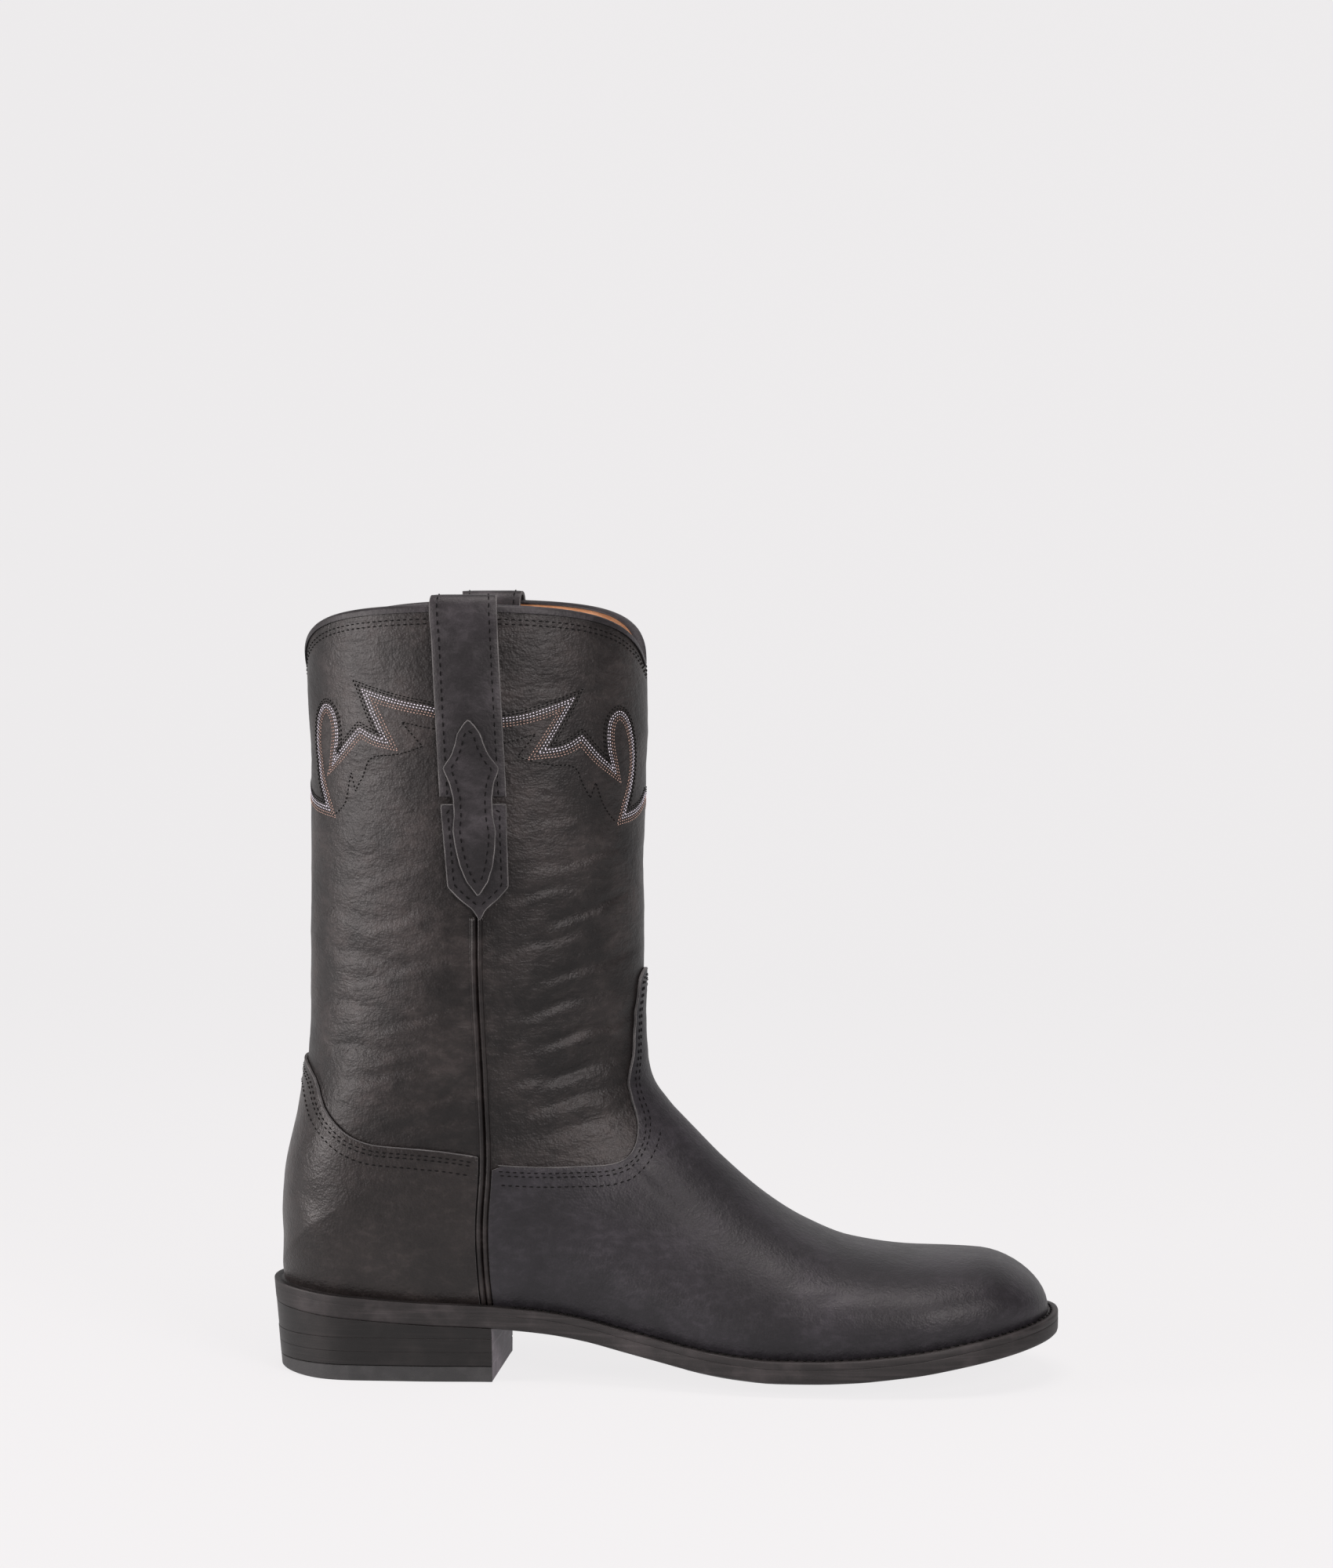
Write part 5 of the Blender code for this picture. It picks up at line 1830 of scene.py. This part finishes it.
        flat = mapped_grid(columns, levels, place)
        inner = flat.copy()
        distances = [signed_polygon(corners, vertex.co.x, vertex.co.z) for vertex in flat.verts]
        trim_sheet(flat, distances)
        for vertex in flat.verts:
            point = self.skin.from_side(vertex.co.x, vertex.co.z, side)
            vertex.co = point.place + point.out * lift
        flat.normal_update()
        face_side(flat, flat.faces[:][0], side)
        piece = new_piece(name + "_leather", flat, (name,), "strap",
                          [self.finishes.strap, self.finishes.raw_edge])
        give_wall(piece, thickness, round_edge=0.26 * MM, rim=1)
        edge = (self.patch_edge_inside, edges, self.patch_edge_sunk)
        for inside, line, sunk in ((seam, run, 0.0), edge):
            cut = inner.copy()
            on_line = trim_sheet(cut, [distance + inside for distance in distances])
            for path in cut_paths(cut, on_line):
                laid = [self.skin.from_side(point.place.x, point.place.z, side) for point in path]
                line.add(raised(laid, lift + thickness - sunk))
            cut.free()
        inner.free()


# Sole and heel


@dataclass
class Sole:
    """Welt and outsole, with the welt's stitches."""

    plan: SolePlan
    finishes: Finishes
    stations: int = 110
    across: int = 12
    fade_before: float = 4 * MM
    fade_after: float = 10 * MM
    edge_band: float = 2 * MM
    drawn_share: float = 0.8
    stitch_inset: float = 2.75 * MM
    stitch_start: float = 6 * MM
    stitch_sunk: float = 0.1 * MM
    stitch_steps: int = 160

    def shares(self) -> list[float]:
        """Stations heel to toe, close together at the rounded ends."""
        count = self.stations
        return [0.5 - 0.5 * math.cos(math.pi * k / count) for k in range(count + 1)]

    def along(self, share: float, inset: float) -> float:
        """Distance from the heel at a share of the plan, drawn in by an inset."""
        return inset + (self.plan.sizes.sole_length - 2 * inset) * share

    def point(self, share: float, side: Side, inset: float, height: float) -> Vector:
        """Point of the rim at an inset and a height, drawn in with the heel's rake over the heel."""
        sizes = self.plan.sizes
        along = self.along(share, inset)
        start, end = sizes.heel_length - self.fade_before, sizes.heel_length + self.fade_after
        over_heel = 1 - smooth_step(start, end, along)
        if inset < self.edge_band and height > 0:
            rake = sizes.heel_rake * (1 - height / sizes.seat_height)
            inset += over_heel * (rake - self.drawn_share * inset)
            along = self.along(share, inset)
        half = self.plan.half_width(along, side, inset)
        return Vector((sizes.heel_back + along, side.value * half, height))

    def loft(self, rim: Sequence[tuple[float, Callable[[float], float]]],
             bottom: Callable[[float, float], float]) -> Mesh:
        """Closed body whose edge has a profile all round.

        Args:
            rim: Profile from the top's inside to the bottom's, as insets and height functions.
            bottom: Height of the lower face from along and across.

        Returns:
            The body.
        """
        shares = self.shares()
        count = len(rim)
        ring = 2 * count + self.across - 1

        def on_rim(share: float, side: Side, k: int) -> Vector:
            inset, height = rim[k]
            return self.point(share, side, inset, height(self.along(share, inset)))

        def place(column: int, row: int) -> Vector:
            share = shares[row]
            column %= ring
            if column < count:
                return on_rim(share, Side.OUTER, column)
            column -= count
            if column < self.across - 1:
                part = (column + 1) / self.across
                outer, inner = on_rim(share, Side.OUTER, -1), on_rim(share, Side.INNER, -1)
                place = outer.lerp(inner, part)
                place.z = bottom(self.along(share, rim[-1][0]), 2 * part - 1)
                return place
            column -= self.across - 1
            return on_rim(share, Side.INNER, count - 1 - column)

        return closed(mapped_grid(ring + 1, len(shares), place))

    def build(self) -> None:
        """Build the welt, the outsole and the welt's stitches."""
        sizes, plan = self.plan.sizes, self.plan
        top, gap = plan.top, sizes.gap

        def below_top(drop: float) -> Callable[[float], float]:
            return lambda along: top(along) - drop

        def above_tread(rise: float) -> Callable[[float], float]:
            return lambda along: plan.tread(along, 1.0) + rise

        thick = sizes.welt_thickness
        welt_rim = [(9.0 * MM, below_top(0.0)), (5.6 * MM, below_top(0.0)), (3.4 * MM, below_top(0.0)),
                    (3.0 * MM, below_top(0.35 * MM)), (2.5 * MM, below_top(0.35 * MM)),
                    (2.1 * MM, below_top(0.0)), (0.8 * MM, below_top(0.05 * MM)),
                    (0.25 * MM, below_top(0.3 * MM)), (0.0, below_top(0.8 * MM)),
                    (0.0, below_top(thick - 0.3 * MM)), (0.12 * MM, below_top(thick - 0.02 * MM)),
                    (8.6 * MM, below_top(thick - 0.02 * MM))]

        def welt_floor(along: float, across: float) -> float:
            return top(along) - thick + 0.02 * MM

        welt = self.loft(welt_rim, welt_floor)
        new_piece("welt_edge", welt, ("welt", "heel_seat"), "welt", [self.finishes.sole_edge],
                  smooth_angle=50)
        sole_rim = [(8.6 * MM, below_top(thick + 0.02 * MM)), (0.16 * MM, below_top(thick + 0.02 * MM)),
                    (0.03 * MM, below_top(thick + 0.15 * MM)), (0.0, below_top(thick + 0.4 * MM)),
                    (0.0, below_top(thick + 2.0 * MM)), (0.05 * MM, above_tread(1.4 * MM)),
                    (0.3 * MM, above_tread(0.6 * MM)), (0.9 * MM, above_tread(0.1 * MM)),
                    (1.6 * MM, above_tread(0.0))]
        outsole = self.loft(sole_rim, plan.tread)
        new_piece("outsole_leather", outsole, ("outsole",), "outsole", [self.finishes.sole_edge],
                  smooth_angle=50)
        self.welt_stitches()

    def welt_stitches(self) -> None:
        """Row of stitches in the welt's groove, round the toe from heel to heel."""
        run = StitchRun("welt_stitches", self.finishes.black_thread, "welt",
                        thickness=0.95 * MM, pitch=3.4 * MM)
        sizes, inset, steps = self.plan.sizes, self.stitch_inset, self.stitch_steps
        first = (sizes.heel_length + self.stitch_start) / sizes.sole_length
        toe = [first + (1 - first) * math.sin(math.pi / 2 * k / steps) for k in range(steps + 1)]
        path = []
        for side, shares in ((Side.OUTER, toe), (Side.INNER, toe[-2::-1])):
            for share in shares:
                height = self.plan.top(self.along(share, inset)) - self.stitch_sunk
                path.append(PathPoint(self.point(share, side, inset, height), Vector((0, 0, 1))))
        run.add(path)
        run.finish()


@dataclass
class Heel:
    """Stacked heel with its rubber cap."""

    plan: SolePlan
    finishes: Finishes
    cap: float = 6.0 * MM
    lift: float = 5.0 * MM
    stations: int = 56
    across: int = 10
    soften: float = 0.07 * MM
    cap_soften: float = 0.25 * MM
    seam: float = 0.02 * MM
    under_sole: float = 0.05 * MM
    breast_facing: float = 0.9

    def build(self) -> None:
        """Build the cap, the lifts and the wedge."""
        gap = self.plan.sizes.gap
        self.layer("heel_cap", "heel_cap", self.tread_rise, self.flat(self.cap),
                   self.finishes.rubber, self.cap_soften)
        low = self.cap + gap
        for number in (1, 2):
            high = low + self.lift + gap - self.seam
            self.layer(f"heel_lift_{number}", "heel_stack", self.flat(low), self.flat(high),
                       self.finishes.waxed, self.soften)
            low = high + self.seam

        def wedge_top(along: float) -> float:
            return self.plan.tread(along, 1.0) - self.under_sole

        self.layer("heel_wedge", "heel_stack", self.flat(low), wedge_top,
                   self.finishes.waxed, self.soften)

    @staticmethod
    def flat(height: float) -> Callable[[float], float]:
        """Level face at a height."""
        return lambda along: height

    def tread_rise(self, along: float) -> float:
        """Height of the tread, which lifts a little towards the back."""
        sizes = self.plan.sizes
        depth = max(0.0, 1 - along / sizes.heel_bevel_length)
        return sizes.heel_bevel_rise * depth ** 2

    def inset(self, height: float) -> float:
        """How far the side has drawn in at a height."""
        sizes = self.plan.sizes
        return sizes.heel_rake * (1 - height / sizes.seat_height)

    def layer(self, node: str, slot: str, low: Callable[[float], float],
              high: Callable[[float], float], finish: bpy.types.Material, soften: float) -> None:
        """One layer of the heel with softened edges.

        Args:
            node: Node that it stands for.
            slot: Material slot of the record.
            low: Height of the lower face along the heel.
            high: Height of the upper face along the heel.
            finish: Material.
            soften: Size of the softened edge.
        """
        sizes = self.plan.sizes
        profile = [(soften, 1.0, 0.0), (0.0, 1.0, -soften), (0.0, 0.5, 0.0),
                   (0.0, 0.0, soften), (soften, 0.0, 0.0)]
        count = len(profile)
        ring = 2 * count + 2 * (self.across - 1)

        def corner(share: float, side: Side, k: int) -> Vector:
            draw, level, shift = profile[k]
            middle = (low(0.5 * sizes.heel_length) + high(0.5 * sizes.heel_length)) / 2
            inset = draw + self.inset(middle + (level - 0.5) * (high(0.0) - low(0.0)))
            front = sizes.heel_length - draw
            along = inset + (front - inset) * (1 - math.cos(math.pi / 2 * share))
            z = low(along) + (high(along) - low(along)) * level + shift
            return Vector((sizes.heel_back + along, side.value * self.plan.half_width(along, side, inset), z))

        def place(column: int, row: int) -> Vector:
            share = row / (self.stations - 1)
            column %= ring
            if column < count:
                return corner(share, Side.OUTER, column)
            column -= count
            if column < self.across - 1:
                part = (column + 1) / self.across
                return corner(share, Side.OUTER, count - 1).lerp(corner(share, Side.INNER, count - 1), part)
            column -= self.across - 1
            if column < count:
                return corner(share, Side.INNER, count - 1 - column)
            column -= count
            part = (column + 1) / self.across
            return corner(share, Side.INNER, 0).lerp(corner(share, Side.OUTER, 0), part)

        mesh = closed(mapped_grid(ring + 1, self.stations, place), capped=True)
        # Faces that look forward, the heel's breast, get the painted light colour in slot 1.
        for face in mesh.faces:
            if face.normal.x > self.breast_facing:
                face.material_index = 1
        new_piece(node + "_layer", mesh, (node,), slot, [finish, self.finishes.breast_painted_light],
                  smooth_angle=30)


# Ornament


class TurnPoint(NamedTuple):
    """Point of the shaft: turn from the front line, height in millimetres."""

    turn: float
    height: float


FRONT_BAND = rows_of(TurnPoint, (
    (0.98, 255.3), (0.86, 255.7), (0.75, 257.4), (0.60, 262.5),
    (0.725, 243.6), (0.62, 244.4), (0.545, 248.4), (0.47, 241.0),
    (0.355, 234.8), (0.395, 243.0), (0.40, 250.5), (0.385, 255.5),
    (0.335, 258.0), (0.275, 254.5), (0.235, 246.0), (0.22, 236.0),
    (0.24, 228.0), (0.29, 217.4), (0.19, 218.4), (0.08, 221.8),
    (0.00, 226.0),
))
BACK_BAND = rows_of(TurnPoint, (
    (0.98, 255.3), (1.10, 259.6), (1.24, 262.0), (1.39, 266.0),
    (1.295, 247.4), (1.35, 248.4), (1.42, 251.6), (1.50, 244.8),
    (1.595, 238.0), (1.555, 247.5), (1.56, 255.0), (1.60, 260.0),
    (1.65, 260.4), (1.70, 255.0), (1.715, 246.0), (1.70, 237.0),
    (1.67, 230.0), (1.615, 220.7), (1.76, 222.4), (1.88, 225.2),
    (2.00, 229.0),
))
FRONT_TRAIL = rows_of(TurnPoint, (
    (0.98, 246.0), (0.86, 247.1), (0.74, 250.8), (0.81, 242.3),
    (0.69, 238.6), (0.57, 238.8), (0.54, 231.6), (0.495, 225.8),
    (0.47, 231.7), (0.42, 221.9), (0.33, 215.2),
))
BACK_TRAIL = rows_of(TurnPoint, (
    (0.98, 251.0), (1.10, 252.5), (1.235, 255.3), (1.157, 246.2),
    (1.25, 242.8), (1.375, 242.3), (1.407, 235.9), (1.45, 228.6),
    (1.476, 235.4), (1.494, 228.2), (1.512, 222.7), (1.62, 216.8),
))


MITRE_LIMIT = 2.4
MITRE_LEAST = 0.2


@dataclass
class ShaftStitching:
    """Rows of coloured thread in a band of loops and points round the shaft."""

    skin: Skin
    finishes: Finishes
    turn_length: float = 86 * MM
    row_step: float = 1.02 * MM
    corner_angle: float = 72.0
    corner_cut: float = 0.25
    step: float = 0.7 * MM
    thread: float = 0.44 * MM
    pitch: float = 1.3 * MM
    black_pitch: float = 1.7 * MM
    fill: float = 0.60

    def build(self) -> None:
        """Sew the band and its black trails on both sides."""
        pale, rust = (StitchRun(name, material, "upper", self.thread, self.pitch, self.fill)
                      for name, material in (("pale_ornament", self.finishes.white_thread),
                                             ("rust_ornament", self.finishes.rust_thread)))
        black = StitchRun("black_ornament", self.finishes.black_thread, "upper", pitch=self.black_pitch)
        rows = ((-2.9, black), (-2.0, black), (-0.9, pale), (0.1, pale), (1.1, rust), (2.1, rust))
        for side in Side:
            for band, mirrored in ((FRONT_BAND, 1), (BACK_BAND, -1)):
                for place, run in rows:
                    run.add(self.row(band, place * self.row_step * mirrored, side))
            for trail in (FRONT_TRAIL, BACK_TRAIL):
                black.add(self.row(trail, 0.0, side))
        for run in (pale, rust, black):
            run.finish()

    def row(self, knots: Sequence[TurnPoint], shift: float, side: Side) -> Path:
        """Path of one row beside the knots' line.

        Args:
            knots: The band's line.
            shift: Distance of the row from the line.
            side: Side of the boot.

        Returns:
            Points on the shaft.
        """
        flat = [Vector((knot.turn * self.turn_length, knot.height * MM)) for knot in knots]
        flat = self.rounded(flat)
        moved = self.beside(flat, shift)
        path = []
        for a, b in zip(moved, moved[1:]):
            count = max(1, int((b - a).length / self.step))
            for k in range(count):
                spot = a.lerp(b, k / count)
                turn = min(2.0, max(0.0, spot.x / self.turn_length))
                path.append(self.skin.round_shaft(turn, spot.y, side))
        return path

    def rounded(self, points: list[Vector]) -> list[Vector]:
        """Round the gentle bends of a line and keep its sharp corners."""
        for _ in range(2):
            result = [points[0]]
            for before, point, after in zip(points, points[1:], points[2:]):
                bend = (point - before).angle(after - point)
                if bend > math.radians(self.corner_angle):
                    result.append(point)
                else:
                    result.append(point.lerp(before, self.corner_cut))
                    result.append(point.lerp(after, self.corner_cut))
            points = result + [points[-1]]
        return points

    @staticmethod
    def beside(points: list[Vector], shift: float) -> list[Vector]:
        """Move a line sideways, with mitred corners."""
        moved = []
        for k, point in enumerate(points):
            back = points[max(0, k - 1)]
            ahead = points[min(len(points) - 1, k + 1)]
            first = (point - back).normalized() if k else (ahead - point).normalized()
            second = (ahead - point).normalized() if k < len(points) - 1 else first
            normals = [Vector((-run.y, run.x)) for run in (first, second)]
            middle = normals[0] + normals[1]
            if middle.length < MITRE_LEAST:
                moved.append(point + normals[0] * shift)
                continue
            middle.normalize()
            reach = min(MITRE_LIMIT, 1 / max(MITRE_LEAST, middle.dot(normals[0])))
            moved.append(point + middle * shift * reach)
        return moved


# Studio


class SoftBox(NamedTuple):
    """Large soft light: place, size and power."""

    name: str
    place: tuple[float, float, float]
    size: float
    power: float


@dataclass
class Studio:
    """Pale sweep, soft light and the camera at the photograph's angle."""

    turn: float = 5.5
    distance: float = 1.5
    eye_height: float = 0.3255
    pitch: float = 3.68
    roll: float = -0.25
    focal_pixels: float = 4954.0
    image_height: float = 2000.0
    aim_x: float = 0.1090
    sensor: float = 36.0
    paper: Colour = (0.060, 0.059, 0.0595)
    paper_glow: Colour = (0.862, 0.848, 0.855)
    glow_strength: float = 0.94
    paper_roughness: float = 0.9
    room: Colour = (0.075, 0.070, 0.072)
    lamp_colour: Colour = (1.0, 0.93, 0.925)
    lamp_aim: tuple[float, float, float] = (0.10, 0.0, 0.12)
    sweep_front: float = -0.42
    sweep_bend: float = 1.3
    sweep_radius: float = 0.9
    sweep_width: float = 3.0
    sweep_top: float = 3.0
    bend_rows: int = 24
    boxes: tuple[SoftBox, ...] = (
        SoftBox("left_box", (-1.15, -0.45, 0.36), 0.6, 18.0),
        SoftBox("low_box", (-0.85, -1.05, 0.12), 0.4, 4.0),
        SoftBox("right_box", (0.90, -1.15, 0.62), 0.5, 17.0),
        SoftBox("top_box", (0.15, -0.30, 1.45), 0.8, 18.0),
    )

    def build(self) -> None:
        """Build the sweep, the lights and the camera."""
        bpy.context.scene.view_settings.view_transform = "Standard"
        self.sweep()
        self.room_light()
        for box in self.boxes:
            self.soft_box(*box)
        self.camera()

    def sweep(self) -> None:
        """Pale paper that runs under the boot and bends up behind it."""
        profile = [(self.sweep_front, 0.0), (self.sweep_bend, 0.0)]
        for k in range(1, self.bend_rows + 1):
            angle = math.pi / 2 * k / self.bend_rows
            profile.append((self.sweep_bend + self.sweep_radius * math.sin(angle),
                            self.sweep_radius * (1 - math.cos(angle))))
        profile.append((self.sweep_bend + self.sweep_radius, self.sweep_top))

        def place(column: int, row: int) -> Vector:
            along, height = profile[row]
            return Vector(((2 * column - 1) * self.sweep_width, along, height))

        mesh = mapped_grid(2, len(profile), place)
        mesh.normal_update()
        data = mesh_data("studio_sweep", mesh)
        data.shade_smooth()
        sheet = NodeSheet("sweep_paper")
        sheet.feed(sheet.shader.inputs["Emission Color"], self.paper_glow)
        data.materials.append(sheet.finish(self.paper, self.paper_roughness, [],
                                           Emission_Strength=self.glow_strength, Specular_IOR_Level=0.0))
        sweep = shown("studio_sweep", data)

    def room_light(self) -> None:
        """Dim even light of the room."""
        world = bpy.data.worlds.new("studio_world")
        world.use_nodes = True
        background = world.node_tree.nodes["Background"]
        background.inputs["Color"].default_value = (*self.room, 1.0)
        background.inputs["Strength"].default_value = 1.0
        bpy.context.scene.world = world

    def soft_box(self, name: str, place: tuple[float, float, float], size: float, power: float) -> None:
        """Large square light aimed at the middle of the boot."""
        light = bpy.data.lights.new(name, "AREA")
        light.shape = "SQUARE"
        light.size = size
        light.energy = power
        light.color = self.lamp_colour
        lamp = shown(name, light)
        lamp.location = place
        aim = Vector(self.lamp_aim) - Vector(place)
        lamp.rotation_euler = aim.to_track_quat("-Z", "Y").to_euler()

    def camera(self) -> None:
        """Camera with the photograph's place, tilt, roll and lens."""
        turn, pitch, roll = (math.radians(angle) for angle in (self.turn, self.pitch, self.roll))
        place = Vector((self.aim_x + self.distance * math.sin(turn),
                        -self.distance * math.cos(turn), self.eye_height))
        ahead = Vector((-math.sin(turn) * math.cos(pitch), math.cos(turn) * math.cos(pitch),
                        -math.sin(pitch)))
        level = Vector((math.cos(turn), math.sin(turn), 0))
        up = level.cross(ahead)
        right = level * math.cos(roll) + up * math.sin(roll)
        top = -level * math.sin(roll) + up * math.cos(roll)
        data = bpy.data.cameras.new("photo_camera")
        data.sensor_width = self.sensor
        data.lens = self.focal_pixels * self.sensor / self.image_height
        camera = shown("photo_camera", data)
        matrix = Matrix((right, top, -ahead)).transposed().to_4x4()
        matrix.translation = place
        camera.matrix_world = matrix
        bpy.context.scene.camera = camera


def dress_kept_nodes(finishes: Finishes) -> None:
    """Give the CAD nodes that stay in view their finish."""
    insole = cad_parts["insole"]
    for slot in insole.material_slots:
        slot.material = finishes.lining


def main() -> None:
    """Build the dressed boot and its studio."""
    logging.basicConfig(level=logging.INFO, format="%(name)s %(message)s")
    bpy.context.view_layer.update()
    sizes = BootSizes()
    plan = SolePlan(sizes)
    finishes = Finishes()
    skin = Skin(BootForm(sizes, plan), Relief())
    lines = Outlines(sizes)
    Studio().build()
    Upper(skin, lines, finishes).build()
    SidePiping(skin, lines, finishes).build()
    CollarBinding(skin, finishes).build()
    PullStraps(skin, finishes).build()
    ShaftStitching(skin, finishes).build()
    Sole(plan, finishes).build()
    Heel(plan, finishes).build()
    dress_kept_nodes(finishes)
    bpy.context.view_layer.update()


if __name__ == "__main__":
    main()
